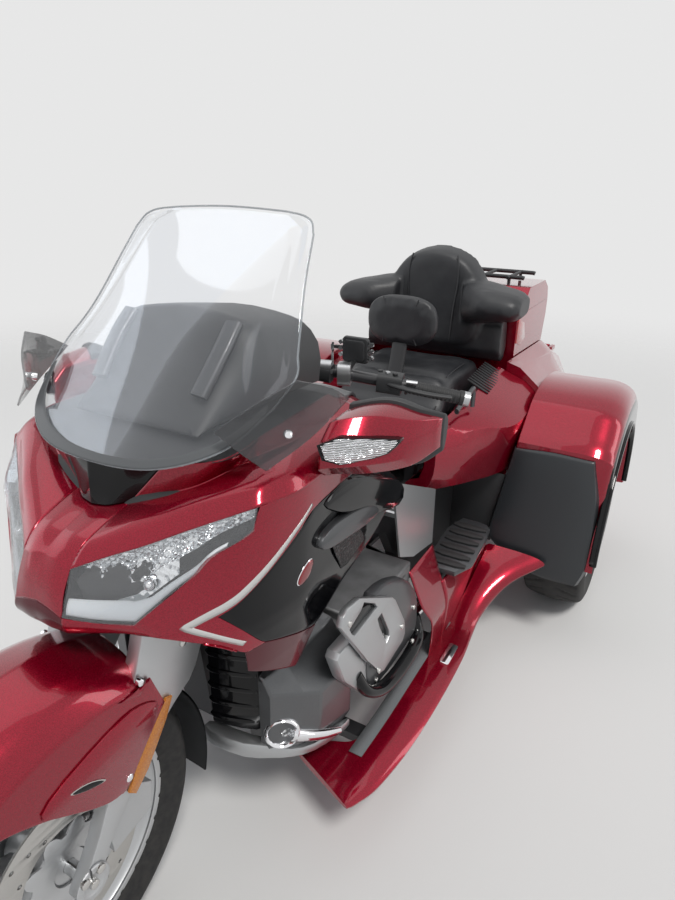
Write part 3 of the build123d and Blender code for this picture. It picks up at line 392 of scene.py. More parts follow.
class Shade:
    """A finish: a Principled shader whose steady values are set and whose varying ones are wired."""

    def __init__(self, name, **steady):
        self.material = bpy.data.materials.new(name)
        self.material.use_nodes = True
        self.tree = self.material.node_tree
        self.skin = next(n for n in self.tree.nodes if n.type == "BSDF_PRINCIPLED")
        self.place = self.node("ShaderNodeTexCoord", out="Object")
        self.material.diffuse_color = (*steady.get("Base_Color", (0.5, 0.5, 0.5)), 1)
        self.set(**steady)

    def node(self, kind, settings=None, sockets=None, out=0):
        made = self.tree.nodes.new(kind)
        for key, value in (settings or {}).items():
            if key == "stops":
                ramp = made.color_ramp
                while len(ramp.elements) > 1:
                    ramp.elements.remove(ramp.elements[0])
                ramp.elements[0].position, ramp.elements[0].color = value[0][0], (*value[0][1], 1)
                for position, colour in value[1:]:
                    ramp.elements.new(position).color = (*colour, 1)
            else:
                setattr(made, key, value)
        for key, value in (sockets or {}).items():
            if isinstance(value, Wire):
                self.tree.links.new(value.socket, made.inputs[key])
            else:
                made.inputs[key].default_value = value
        return Wire(self, made.outputs[out])

    def set(self, **values):
        for key, value in values.items():
            socket = self.skin.inputs[key.replace("_", " ")]
            if isinstance(value, Wire):
                self.tree.links.new(value.socket, socket)
            elif socket.type == "RGBA":
                socket.default_value = (*value, 1)
            else:
                socket.default_value = value
        return self

    def noise(self, scale, detail=3.0, stretch=None):
        """Cloudy value from 0 to 1 with features about one over scale metres across."""
        place = self.place
        if stretch:
            place = self.node("ShaderNodeMapping", None, {"Vector": place, "Scale": stretch})
        return self.node("ShaderNodeTexNoise", None,
                         {"Vector": place, "Scale": scale, "Detail": detail, "Roughness": 0.5})

    def cells(self, scale):
        """Distance to the nearest of scattered points, about one over scale metres apart."""
        return self.node("ShaderNodeTexVoronoi", {"feature": "F1"}, {"Vector": self.place, "Scale": scale},
                         "Distance")

    def colours(self, value, *stops):
        return self.node("ShaderNodeValToRGB", {"stops": stops}, {"Fac": value})

    def bumps(self, height, strength, depth):
        self.set(Normal=self.node("ShaderNodeBump", None,
                                  {"Height": height, "Strength": strength, "Distance": depth}))
        return self


def grained(name, colour, rough, scale, detail=3.0, bump=None, **steady):
    """A finish whose roughness is rough[0] plus rough[1] times a cloudy value, which may raise it too."""
    made = Shade(name, Base_Color=colour, **steady)
    grain = made.noise(scale, detail)
    made.set(Roughness=rough[0] + grain * rough[1])
    return made.bumps(grain, *bump) if bump else made


def mottled(name, texture, stops, rough=None, bump=None, **steady):
    """A finish whose colour follows one texture through the stops, and its roughness and relief too where given."""
    made = Shade(name, **steady)
    value = made.cells(texture) if isinstance(texture, int) else made.noise(*texture)
    made.set(Base_Color=made.colours(value, *stops))
    if rough:
        made.set(Roughness=rough[0] + value * rough[1])
    return made.bumps(value, *bump) if bump else made


def dress(finish, *nodes):
    """Give carried-over CAD solids their finish."""
    for node in nodes:
        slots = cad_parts[node].data.materials
        slots.clear()
        slots.append(finish.material)


rubber = Shade("tire_rubber", Base_Color=(0.022, 0.022, 0.023), Roughness=0.72, Specular_IOR_Level=0.35)
scuff = rubber.noise(60, 5)
rubber.set(Base_Color=rubber.colours(scuff, (0.3, (0.016, 0.016, 0.017)), (0.75, (0.04, 0.038, 0.036))),
           Roughness=0.62 + scuff * 0.2).bumps(rubber.noise(900, 3), 0.25, 0.0004)
cast = grained("cast_silver", (0.56, 0.57, 0.58), (0.30, 0.16), 1400, 2, bump=(0.12, 0.0003), Metallic=0.85)
disc_steel = grained("brake_steel", (0.55, 0.54, 0.52), (0.22, 0.2), 260, 2, Metallic=1.0)


def tread(width, depth, pitch, slant):
    """Groove depth over the tyre: slanted cuts repeated round the tyre outside a plain middle band."""
    def shape(angle, across):
        reach = np.abs(across) / (width / 2)
        wave = (angle / (2 * np.pi) * pitch + reach * slant + (across > 0) * 0.5) % 1
        cut = np.clip(1 - np.abs(wave - 0.5) / 0.09, 0, 1) ** 0.5
        band = np.clip((reach - 0.16) * 12, 0, 1) * np.clip((0.86 - reach) * 10, 0, 1)
        return -depth * cut * band
    return shape


def tire_profile(width, radius, rim_radius, rim_width, flat, count=64):
    """Outside of a tyre from bead to bead: a crowned tread, round shoulders and bulged walls."""
    half = width / 2
    waist = (radius + rim_radius) / 2
    side = [(rim_width / 2, rim_radius), (rim_width / 2 + 3, rim_radius + 7), (half - 1.5, waist - 4),
            (half - 1.5, waist + 12), (half * 0.86, radius - flat), (half * 0.5, radius - flat * 0.3)]
    return along([*side, (0, radius), *[(-u, v) for u, v in reversed(side)]], count)


def rim_grids(centre, rim_radius, rim_width, hub_radius, hub_width, bore, spokes, spoke_width, forked):
    """Rim barrel, hub and spokes: two revolved profiles and tapered arms between them."""
    half = rim_width / 2
    seat = rim_radius - 0.3
    barrel = along([(half, seat), (half, seat - 12), (half * 0.82, seat - 13), (half * 0.5, seat - 32),
                    (0, seat - 35), (-half * 0.5, seat - 32), (-half * 0.82, seat - 13), (-half, seat - 12),
                    (-half, seat), (-half * 0.8, seat - 2), (-half * 0.5, seat - 23), (0, seat - 25),
                    (half * 0.5, seat - 23), (half * 0.8, seat - 2), (half, seat)], 60,
                   sharp=(1, 7, 8))[:-1]
    hub = np.array([(hub_width / 2, bore), (hub_width / 2, hub_radius * 0.62), (hub_width / 2 - 4, hub_radius * 0.7),
                    (hub_width / 2 - 6, hub_radius), (hub_width / 2 - 16, hub_radius + 3), (0, hub_radius + 4),
                    (16 - hub_width / 2, hub_radius + 3), (6 - hub_width / 2, hub_radius),
                    (4 - hub_width / 2, hub_radius * 0.7), (-hub_width / 2, hub_radius * 0.62),
                    (-hub_width / 2, bore)])
    parts = [(spun(barrel, centre, 120), True, True, 0), (spun(hub, centre, 72), True, True, 0)]
    cx, station, height = centre
    section = ring(spoke_width / 1000, half * 0.62 / 1000 * 2, 14, 3.2)
    for number in range(spokes):
        middle = 2 * np.pi * number / spokes
        for lean in ((-1, 1) if forked else (0,)):
            t = np.linspace(0, 1, 9)
            radius = hub_radius * 0.9 + t * (seat - 30 - hub_radius * 0.9)
            turn = middle + lean * (0.06 + 0.12 * t)
            path = at(cx, station + radius * np.sin(turn), height + radius * np.cos(turn))
            size = np.stack([1.25 - 0.5 * np.sin(np.pi * t * 0.9), 1.0 + 0.25 * (1 - t)], -1)
            parts.append((swept(path, section, up=(1, 0, 0), size=size), False, True, 0))
    return parts


front_centre = (0, 0, axle_height)
rim_radius, rim_width = 229, 96
front_tread = tire_profile(130, axle_height, rim_radius, rim_width, 24)
inside = np.array([(-40, 230), (-52, 268), (-44, 292), (0, 300), (44, 292), (52, 268), (40, 230)])
panel("front_tire_skin",
      [(spun(np.vstack([front_tread, inside]), front_centre, 360, tread(130, 5.0, 30, 1.4)), True, True, 0)],
      rubber, "front_tire", "tire_rubber", body="front_wheel")
panel("front_rim_cast", rim_grids(front_centre, rim_radius, rim_width, 50, 114, 13.1, 5, 20, True),
      cast, "front_rim", "cast_silver", body="front_wheel")
drilled = [circle(4.2, 10, (r * np.cos(t), r * np.sin(t)))
           for k in range(30) for r, t in [((108, 124, 140)[k % 3], 2 * np.pi * k / 30)]]
star = rounded([(r * math.cos(t), r * math.sin(t)) for k in range(10)
                for r, t in ((98, 2 * math.pi * k / 10 - 0.1), (98, 2 * math.pi * k / 10 + 0.1),
                             (70, 2 * math.pi * (k + 0.5) / 10))], 1)
disc_parts = [*flanks([circle(153.5, 120), circle(96, 80), *drilled], 57.4, 61.6, 0.4, 0, axle_height),
              *flanks([star, circle(34, 40)], 57.6, 61.8, 0.5, 1, axle_height)]
plates("front_disc_pair", disc_parts, [disc_steel, cast], "front_discs", "steel", body="front_wheel")

# Fork: two cast aluminium legs joined over the tyre, an axle with clamp bolts, and amber reflectors
# screwed to the legs. The fender is moulded and painted, bolted to the legs, with a rubber flap behind.
leg = [(-27, 312), (-28, 300), (-20, 288), (0, 284), (20, 288), (29, 302), (31, 330), (60, 372), (112, 420),
       (160, 470), (190, 500), (240, 530), (282, 547), (318, 612), (324, 640), (324, 697), (268, 768), (232, 772),
       (186, 745), (170, 700), (130, 600), (70, 470), (20, 372)]
legs = flanks([rounded(leg, 1)], 84.2, 113.6, 3.0)
plates("fork_legs", legs, [cast], "fork", "cast_silver", body="fork")
ends = [(spun(np.array([(sign * 113.5, 0.1), (sign * 113.5, 33), (sign * 116, 35), (sign * 119, 33),
                        (sign * 119.5, 22), (sign * 118, 20), (sign * 117.5, 0.1)]), front_centre, 40),
         False, True, 0) for sign in (1, -1)]
bridge = loft([at(x, *zip((276, 716), (330, 700), (330, 730), (306, 768), (262, 770), (236, 752)))
               for x in (-84, -30, 30, 84)], 9, 1)
axle = (spun(np.array([(-114, 0.1), (-114, 12.6), (114, 12.6), (114, 0.1)]), front_centre, 24), False, True, 0)
panel("fork_bridge", [bridge, axle, *ends], cast, body="fork", round_by=1.5)
softened("caliper_bodies", "front_calipers", 2, cast, "dark_cast", body="fork")

steel = Shade("bolt_steel", Base_Color=(0.62, 0.61, 0.59), Metallic=1.0, Roughness=0.24)
bright = Shade("chrome", Base_Color=(0.9, 0.9, 0.92), Metallic=1.0, Roughness=0.06)
amber = mottled("amber_lens", 420, ((0.0, (0.78, 0.32, 0.012)), (0.5, (0.50, 0.15, 0.002))), bump=(0.5, 0.001),
                Base_Color=(0.6, 0.2, 0.005), Roughness=0.12, Coat_Weight=0.6)


def buttons(name, spots, radius, height, finish, body="chassis"):
    """Domed bolt heads: at each (x, station, z) a low cap standing out along its own direction."""
    parts = []
    turn = np.linspace(0, 2 * np.pi, 16, endpoint=False)[None, :, None]
    ring_radius, lift = (np.array(v)[:, None, None] for v in ((0.0, 0.6, 0.92, 1.0, 1.0),
                                                              (1.0, 0.92, 0.62, 0.2, -0.6)))
    for x, station, z, along_x, along_y, along_z in spots:
        out = np.array([along_x, along_y, along_z], float)
        out /= np.linalg.norm(out)
        side = np.cross(out, (0.31, 0.2, 0.93))
        side /= np.linalg.norm(side)
        other = np.cross(out, side)
        middle = at(x, station, z)
        grid = (middle + (side * np.cos(turn) + other * np.sin(turn)) * ring_radius * radius / 1000
                + out * lift * height / 1000)
        parts.append((grid, False, True, 0))
    return panel(name, parts, finish, body=body)


reflector = [(197, 560), (225, 549), (116, 409), (89, 439)]
lens = flanks([rounded(reflector, 1)], 114.2, 121.0, 1.6)
plates("leg_reflectors", lens, [amber], slot="amber", body="fork")
buttons("fork_bolts", outward(((119, 0, 318), (119.5, -16, 338), (119.5, 16, 338), (114, 262, 640), (114, 300, 700))),
        9, 6, steel, body="fork")

cherry = Shade("cherry_paint", Base_Color=(0.28, 0.001, 0.016), Metallic=0.6, Roughness=0.24, Specular_IOR_Level=0.2,
               Coat_Weight=1.0, Coat_Roughness=0.02, Coat_IOR=1.45)
flake = cherry.node("ShaderNodeTexWhiteNoise", {"noise_dimensions": "3D"},
                    {"Vector": cherry.node("ShaderNodeVectorMath", {"operation": "SNAP"},
                                           {0: cherry.place, 1: (0.0006, 0.0006, 0.0006)})})
drift = cherry.noise(1.6, 1)
cherry.set(Base_Color=cherry.colours(flake * 0.5 + drift * 0.5, (0.15, (0.21, 0.0006, 0.011)),
                                     (0.55, (0.30, 0.001, 0.018)),
                                     (0.85, (0.42, 0.003, 0.030))),
           Roughness=0.20 + flake * 0.12)
satin = grained("satin_black", (0.028, 0.029, 0.031), (0.42, 0.2), 1500, 2, bump=(0.2, 0.0004))
ink = grained("gloss_black", (0.005, 0.005, 0.006), (0.06, 0.08), 9, 3, Specular_IOR_Level=0.1, Coat_Weight=0.4,
              Coat_Roughness=0.03)


def fender_crown(profile, first, last, count):
    """The crown's cross profile (width, radius) carried round the axle from one angle to the other."""
    turn = np.radians(np.linspace(first, last, count))[:, None]
    width, radius = np.asarray(profile, float).T[:, None, :]
    return at(width + 0 * turn, radius * np.sin(turn), axle_height + radius * np.cos(turn))


skirt_radius = 331.0
half = along([(0, 399.5), (20, 396), (44, 391), (70, 384.5), (92, 374), (105, 362), (115, 346),
              (121.4, skirt_radius)], 30, sharp=(4,))
crown = fender_crown(np.vstack([half[::-1] * (-1, 1), half[1:]]), -60.5, 25.8, 100)
fender_parts = [(crown, False, False, 0)]
turn = np.radians(np.linspace(-60.5, 25.8, 60))
top = at(121.4, skirt_radius * np.sin(turn), axle_height + skirt_radius * np.cos(turn))
bottom = at(121.4, *along([(-288, 481), (-232, 535), (-170, 566), (-120, 572), (0, 500), (87, 443), (197, 556)], 60,
                          sharp=(5,)).T)
rear_edge = at(121.4, *along([(144, 616), (172, 632), (197, 556)], 14, sharp=(1,)).T)
top[0], top[-1] = at(121.4, -288, 481), rear_edge[0]
side_wall = patch(top, bottom, top[0] + np.linspace(0, 1, 14)[:, None] * (bottom[0] - top[0]), rear_edge)
fender_parts += [(grid, False, False, 0) for grid in mirrored(side_wall)]
panel("fender_skin", fender_parts, cherry, "front_fender", "cherry_paint", body="fork", wall=3.0,
      round_by=0.8, core=(0, axle_y, axle_height / 1000))
wedge = [(-84, 562), (103, 606), (160, 590), (190, 562), (118, 480), (93, 450), (50, 456), (-20, 510)]
wedges = flanks([rounded(wedge, 2)], 121.0, 125.5, 2.2)
plates("fender_wedges", wedges, [cherry], body="fork")
slots = [*flanks([rounded([(-22, 553), (24, 541), (62, 508), (16, 526)], 2)], 124.5, 126.6, 0.5),
         *flanks([rounded([(-17, 550), (23, 539), (56, 511), (16, 527)], 2)], 125.5, 127.0, 0.3, 1)]
plates("fender_slots", slots, [steel, ink], body="fork")
buttons("fender_bolts", outward(((122, 150, 640), (122, 98, 470))), 8, 6, bright, body="fork")

flap, flap_inner = (fender_crown([(x, radius - 0.0006 * x * x) for x in np.linspace(-83, 83, 24)], 27, 104, 40)
                    for radius in (336, 332))
panel("mud_flap_skin", [np.concatenate([flap, flap_inner[::-1], flap[:1]])], satin, "mud_flap", "satin_black",
      body="fork")
dark_cast = grained("dark_grey", (0.075, 0.078, 0.083), (0.3, 0.16), 1800, 2, bump=(0.08, 0.0002), Metallic=0.5,
                    Coat_Weight=0.35, Coat_Roughness=0.12)

# Fairing: moulded panels in clear-coated cherry paint over a black inner shell, screwed to the frame.
# A gloss black panel fills the nose under the windscreen and another each side, edged by a pale line.
shell_curve = along([(118, 133), (133, 151), (168, 196), (203, 239), (222, 261), (245, 279), (290, 299), (345, 312),
                     (400, 317), (520, 311), (640, 302)], 80)


def side_width(station, height):
    """Outside of the side panels: the plan curve, drawn in 8 mm by height 700 and 32 mm more by 545."""
    drop = np.interp(height, (545, 640, 700, 725, 750, 2000), (40, 19, 8, 3, 0, 0))
    return np.interp(station, shell_curve[:, 0], shell_curve[:, 1]) - drop


def on_side(points, count, sharp=(), out=0.0):
    """Curve drawn on the side panels through (station, z) points."""
    flat = along(points, count, sharp)
    return at(side_width(flat[:, 0], flat[:, 1]) + out, flat[:, 0], flat[:, 1])


def side_patch(top, bottom, left, right, out=0.0, corners=((), (), (), ())):
    """Coons patch in station and height, laid on the side panels' surface."""
    rows, columns = 26, 46
    flat = [along(p, n, c) for p, n, c in zip((top, bottom, left, right), (columns, columns, rows, rows), corners)]
    grid = patch(*[np.pad(f, ((0, 0), (0, 1))) for f in flat])
    station, height = grid[..., 0], grid[..., 1]
    return at(side_width(station, height) + out, station, height)


inside_nose, inside_screen = (0, axle_y + 0.42, 0.78), (0, axle_y + 1.4, 0.9)
lamp_low = [(55, 74, 795), (100, 99, 786), (150, 131, 780), (196, 170, 832), (228, 192, 864), (250, 209, 894),
            (280, 246, 915), (290, 264, 925)]
lamp_top = [(55, 104, 868), (100, 137, 886), (150, 171, 904), (200, 209, 925), (250, 246, 945), (290, 276, 961)]
beak = [(60, 231, 929), (58, 180, 915), (56, 133, 897), (55, 104, 868)]
brow_edge = [(0, 203, 921), (32, 210, 924), (60, 231, 929)]
ridge_edge = [(0, 104, 880), (30, 101, 876), (55, 104, 868)]
mouth_edge = [(0, 75, 808), (30, 74, 803), (55, 74, 795)]
jaw_edge = [(55, 74, 795), (57, 72, 780), (58, 80, 764), (62, 104, 755)]
sill_edge = [(0, 209, 1003), (65, 222, 1005), (130, 250, 1008)]
deck_edge = [(130, 250, 1008), (180, 266, 1014), (218, 290, 1019), (226, 340, 1024), (218, 400, 1027),
             (200, 640, 1028)]
beak_upper = drawn(brow_edge, ridge_edge, [(0, 203, 921), (0, 160, 908), (0, 133, 898), (0, 104, 880)], beak)
beak_lower = drawn(ridge_edge, mouth_edge, [(0, 104, 880), (0, 84, 846), (0, 75, 808)],
                   [(55, 104, 868), (54, 86, 832), (55, 74, 795)])
nose_left = curve([*beak[::-1], (95, 240, 968), (130, 250, 1008)], 40, sharp=(3,))
nose_bottom = curve([*lamp_top, (303, 302, 963), (316, 345, 963), (318, 400, 963), (311, 520, 963), (302, 640, 963)],
                    80, sharp=(5,))
nose_top = curve(deck_edge, 80)
upper_skin = patch(nose_bottom, nose_top, nose_left,
                   curve([(302, 640, 963), (292, 640, 992), (256, 640, 1016), (200, 640, 1028)], 40))
u, v = np.linspace(0, 1, 80)[None, :], np.linspace(0, 1, 40)[:, None]
swell = 11 * np.sin(np.pi * np.clip(u * 1.15, 0, 1)) * np.sin(np.pi * v) ** 1.2
upper_skin = upper_skin + swell[..., None] / 1000 * np.array([0.25, -0.35, 0.9])
chin = drawn(mouth_edge, [(0, 90, 757), (30, 92, 755), (62, 104, 755)],
             [(0, 75, 808), (0, 70, 790), (0, 74, 768), (0, 90, 757)], jaw_edge)
lip = patch(curve([(55, 74, 795), (100, 99, 786), (150, 131, 780)]),
            curve([(62, 104, 755), (110, 128, 754), (170, 150, 753)]),
            curve(jaw_edge), on_side([(131, 780), (140, 766), (150, 753)], 30))
under = drawn([(0, 90, 757), (62, 104, 755), (110, 128, 754), (170, 150, 753), (222, 204, 733)],
              [(0, 260, 850), (90, 260, 838), (170, 255, 815), (205, 250, 790), (236, 252, 752)],
              [(0, 90, 757), (0, 150, 806), (0, 260, 850)], [(222, 204, 733), (232, 230, 742), (236, 252, 752)], 40)
red_over = side_patch([(131, 780), (170, 832), (192, 864), (209, 894), (246, 915), (264, 925), (276, 961),
                       (302, 963), (345, 963), (400, 963), (520, 963), (640, 963)],
                      [(150, 753), (176, 760), (212, 782), (256, 817), (300, 850), (350, 883), (400, 912),
                       (520, 915), (640, 915)],
                      [(131, 780), (140, 766), (150, 753)], [(640, 963), (640, 915)], corners=((5, 6), (2,), (), ()))
red_under = side_patch([(150, 753), (176, 760), (212, 782)], [(215, 722), (248, 695), (266, 696), (282, 698)],
                       [(150, 753), (184, 737), (215, 722)], [(212, 782), (240, 747), (268, 712), (282, 698)])
guard = side_patch([(248, 695), (266, 696), (282, 698), (432, 636)],
                   [(258, 645), (300, 618), (384, 566), (400, 590), (432, 636)],
                   [(248, 695), (254, 668), (258, 645)], [(432, 636), (432, 636.1)], corners=((2,), (2,), (), ()))
panel("nose_skin", mirrored(beak_upper, beak_lower, upper_skin, lip), cherry, "upper_cowl", "cherry_paint", wall=2.5,
      core=inside_nose, angle=30)
panel("side_skin", mirrored(red_over, red_under), cherry, "side_cowls", "cherry_paint", wall=2.5, round_by=0.8,
      core=inside_nose)
# A darker copy of the cherry paint: painted shade for the chin, the nose's underside and the lower guard, which lie
# in the shade under the nose and the side panels.
cherry_in_shade = grained("cherry_in_shade", (0.09, 0.002, 0.009), (0.14, 0.12), 14, 2, Metallic=0.3, Specular_IOR_Level=0.2,
                      Coat_Weight=0.5, Coat_Roughness=0.03)
panel("chin_skin", mirrored(chin, under), cherry_in_shade, wall=2.5, core=inside_nose)
panel("lower_guard", mirrored(guard), cherry_in_shade, wall=3, round_by=0.8, core=inside_nose)

black_panel = side_patch([(212.8, 782), (256, 816), (300.4, 849.6), (350, 882), (400, 911.4), (520, 914.4),
                          (600, 912), (640, 900), (721, 850), (773, 809)],
                         [(282.4, 698.4), (355, 670), (432.4, 636.4), (480, 652), (536, 676), (600, 686), (655, 700),
                          (690, 720), (735, 755), (747, 764)],
                         [(212.8, 782), (240, 747), (268.6, 712.4), (282.4, 698.4)],
                         [(773, 809), (762, 786), (747, 764)], out=-0.6,
                         corners=((4, 7), (2,), (), ()))
u, v = np.linspace(0, 1, 46)[None, :], np.linspace(0, 1, 26)[:, None]
black_panel[..., 0] -= 7 * np.sin(np.pi * v) * np.sin(np.pi * u) / 1000
panel("black_side", mirrored(black_panel), ink, "side_panels", "gloss_black", wall=3, round_by=0.6,
      core=inside_nose)
nose_black = drawn(brow_edge, sill_edge, [(0, 203, 921), (0, 204, 960), (0, 209, 1003)],
                   [(60, 231, 929), (95, 240, 968), (130, 250, 1008)], bulge=-5)
panel("nose_panel", mirrored(nose_black), ink, wall=2.5, core=inside_nose)
deck = drawn(sill_edge, [(0, 640, 1028), (100, 640, 1028), (200, 640, 1028)],
             [(0, 209, 1003), (0, 245, 1012), (0, 290, 1021), (0, 400, 1027), (0, 640, 1028)], deck_edge, 40, 40)
panel("cowl_deck", mirrored(deck), satin, wall=2.5, core=inside_nose)
cowl_core = hull((
    (112, [(0, 770), (48, 772), (66, 780), (76, 800), (72, 820), (44, 850), (0, 856)]),
    (150, [(0, 772), (96, 768), (130, 776), (132, 800), (124, 838), (60, 876), (0, 884)]),
    (205, [(0, 814), (120, 792), (182, 776), (205, 812), (205, 858), (120, 898), (0, 900)]),
    (262, [(0, 844), (140, 806), (214, 800), (246, 832), (246, 892), (196, 955), (0, 975)]),
    (400, [(0, 894), (170, 866), (256, 866), (286, 886), (286, 928), (225, 985), (0, 1000)]),
    (632, [(0, 912), (170, 896), (250, 896), (272, 908), (272, 930), (200, 1000), (0, 1006)])), 30, 1)
panel("cowl_core", [cowl_core], satin)
pale = grained("pale_line", (0.66, 0.655, 0.64), (0.2, 0.1), 30, Metallic=0.45, Coat_Weight=0.6)


def stripe(points, widths, count=60, sharp=()):
    """Narrow band along (station, z) points on the side panels, as wide as widths at each end and middle."""
    flat = along(points, count, sharp)
    ahead = np.gradient(flat, axis=0)
    ahead /= np.linalg.norm(ahead, axis=1, keepdims=True)
    across = np.stack([-ahead[:, 1], ahead[:, 0]], -1) * np.interp(np.linspace(0, 1, count), (0, 0.5, 1), widths)[:,
        None] / 2
    bands = np.stack([flat + across, flat, flat - across])
    return at(side_width(bands[..., 0], bands[..., 1]) + 0.5, bands[..., 0], bands[..., 1])


panel("pale_lines", mirrored(stripe([(245, 716), (196, 752), (178, 766), (215, 796), (300, 860), (391, 922)],
                                    (9.0, 13.0, 6.0), 80, sharp=(2,))),
      pale, wall=0.4, core=inside_nose)
badge_ring = np.linspace(0, 2 * np.pi, 40, endpoint=False)
badge = grained("badge_red", (0.24, 0.008, 0.014), (0.12, 0.1), 40, Metallic=0.4, Coat_Weight=1.0)


def oval(station, height, long, tall, lean, low, high):
    """Oval pad on the side panels, leaning, bulged from low at its edge to high at its middle."""
    share = np.array([1.0, 1.0, 0.92, 0.7, 0.4, 0.0])[:, None]
    rise = np.array([0.0, 0.6, 0.85, 0.95, 1.0, 1.0])[:, None]
    along_it, across_it = long * share * np.cos(badge_ring), tall * share * np.sin(badge_ring)
    st = station + along_it * math.cos(lean) - across_it * math.sin(lean)
    z = height + along_it * math.sin(lean) + across_it * math.cos(lean)
    return at(side_width(st, z) - 7 + low + (high - low) * rise, st, z)


panel("badge_rim", wrapped(oval(376, 793, 27, 13.5, 0.62, 0, 4)), bright, core=inside_nose)
panel("badge_face", wrapped(oval(376, 793, 25.5, 12.4, 0.62, 1, 5.5)), badge, core=inside_nose)
fin_line = rounded([(404, 833), (440, 852), (540, 842), (636, 812), (662, 782), (600, 782), (511, 796), (429, 808)],
                   2)
grey_fin = [(0, cutout([fin_line], 300, 324, lambda u, v, w,
                       sign=sign: at(sign * (w - 0.00012 * (u - 470) ** 2), u, v), 6))
            for sign in (1, -1)]
plates("side_fins", grey_fin, [dark_cast])
mesh_black = mottled("mesh_black", 190, ((0.0, (0.002, 0.002, 0.002)), (0.55, (0.004, 0.004, 0.004)),
                                         (0.75, (0.07, 0.07, 0.072))),
                     bump=(0.8, 0.004), Base_Color=(0.01, 0.01, 0.011), Roughness=0.45)
grille_patch = side_patch([(468, 802), (530, 788), (590, 776)], [(520, 715), (575, 702), (640, 700)],
                          [(468, 802), (490, 760), (520, 715)], [(590, 776), (620, 740), (640, 700)], out=-3)
panel("side_grilles", mirrored(grille_patch), mesh_black, wall=2, core=inside_nose)

# Headlamps: a clear lens over a black housing with a row of chromed bowls, one projector and a
# white daylight bar that follows the lower edge. The lens is moulded polycarbonate, glued in.
low_curve, top_curve = along(lamp_low, 121, sharp=(2,)), along(lamp_top, 121)
share = np.linspace(0, 1, 121)
lamp_out = np.array([0.30, -0.78, 0.10])
lamp_out /= np.linalg.norm(lamp_out)


def in_lamp(s, t, deep):
    """Point at share s along the lamp, share t from its low to its top edge, deep mm behind the lens."""
    low = np.stack([np.interp(s, share, low_curve[:, k]) for k in range(3)], -1)
    top = np.stack([np.interp(s, share, top_curve[:, k]) for k in range(3)], -1)
    t, deep = np.broadcast_arrays(np.asarray(t, float), np.asarray(deep, float))
    spot = low + (top - low) * t[..., None]
    bow = 6 * np.sin(np.pi * t) * np.sin(np.pi * s)
    return placed(spot - (deep - bow)[..., None] * lamp_out)


s, t = np.meshgrid(np.linspace(0.0, 1, 200), np.linspace(0.0, 1, 56))
row = np.clip((t - 0.52) / 0.4, 0, 1)
bowl = np.abs(np.sin(s * 7 * np.pi)) ** 0.6 * np.sin(np.pi * row) ** 0.6
facets = 1.6 * np.sign(np.sin(s * 120)) * np.sign(np.sin(t * 60)) * (row > 0) * (row < 1)
deep = 8 + 14 * np.sin(np.pi * np.clip(t, 0, 1)) ** 0.4 * np.clip(np.minimum(s, 1 - s) * 16, 0, 1) + 9 * bowl + facets
housing = in_lamp(s, t, deep)
bowl_zone = (t > 0.5) & (t < 0.97) & (s > 0.05) & (s < 0.97)
bulb_zone = (t > 0.2) & (t <= 0.5) & (s > 0.22) & (s < 0.56)
chrome_faces = (bowl_zone | bulb_zone)[:-1, :-1].ravel()
lamp_chrome = Shade("reflector_chrome", Base_Color=(0.86, 0.88, 0.9), Metallic=1.0, Roughness=0.1)
glitter = lamp_chrome.cells(90)
lamp_chrome.set(Roughness=0.06 + glitter * 0.2).bumps(glitter, 0.6, 0.004)
bar_white = grained("daylight_bar", (0.9, 0.93, 0.95), (0.22, 0.15), 120, Emission_Color=(0.9, 0.97, 1.0),
                    Emission_Strength=0.12)
panel("lamp_housings", [(grid, False, False, chrome_faces) for grid in mirrored(housing)], [ink, lamp_chrome],
      core=inside_nose, wall=1.5)
s, t = np.meshgrid(np.linspace(0.01, 0.86, 90), np.linspace(0, 1, 9))
reach = np.interp(s, (0, 0.3, 0.42, 0.9), (0.34, 0.30, 0.17, 0.13))
daylight = in_lamp(s, 0.03 + reach * t, 4 + 3 * (2 * t - 1) ** 2)
panel("daylight_bars", mirrored(daylight), bar_white, wall=2, core=inside_nose)
ball = np.linspace(0, np.pi, 14)[:, None]
turn = np.linspace(0, 2 * np.pi, 28, endpoint=False)[None, :]
spot = in_lamp(np.array([0.40]), np.array([0.40]), np.array([14.0]))[0]
globe = spot + 0.011 * np.stack([np.sin(ball) * np.cos(turn), np.sin(ball) * np.sin(turn), np.cos(ball) + 0 * turn],
                                -1)
panel("projector_lenses", wrapped(globe), bright)
clear = Shade("clear_lens", Base_Color=(0.95, 0.97, 1.0), Metallic=1.0, Roughness=0.02)
rim_gloss = clear.node("ShaderNodeFresnel", None, {"IOR": 1.45})
clear.set(Alpha=0.05 + rim_gloss * 0.75)
s, t = np.meshgrid(np.linspace(0.0, 1, 120), np.linspace(0.0, 1, 40))
panel("lamp_lenses", mirrored(in_lamp(s, t, 0 * s)), clear, "headlights", "lamp_lens", core=inside_nose, wall=1.2)

# Windscreen: one sheet of clear polycarbonate bent round two ways, with a fold down each side, clamped
# at its base by a grey strip. The hood behind it is grained black plastic with a raised bar each side.
screen_front = along([(995, 199), (1090, 300), (1190, 401), (1290, 506), (1390, 608)], 60)
screen_flank = along([(995, 272), (1090, 390), (1190, 505), (1290, 566), (1390, 620)], 60)


def screen_station(x, z):
    """Station of the sheet: a parabola across from its middle line to its flank, with a 5 mm fold near each edge."""
    front = np.interp(z, screen_front[:, 0], screen_front[:, 1])
    flank = np.interp(z, screen_flank[:, 0], screen_flank[:, 1])
    edge = np.interp(z, (1000, 1040, 1090, 1130, 1190, 1250, 1320, 1350, 1377),
                     (150, 222, 262, 272, 247, 229, 214, 205, 150))
    fold = np.clip((np.abs(x) - (edge - 46)) / 12, 0, 1) - np.clip((np.abs(x) - (edge - 24)) / 12, 0, 1)
    fade = np.clip((z - 1090) / 60, 0, 1)
    return front + (flank - front) * (np.abs(x) / 310) ** 2 + 3.5 * fold * fade


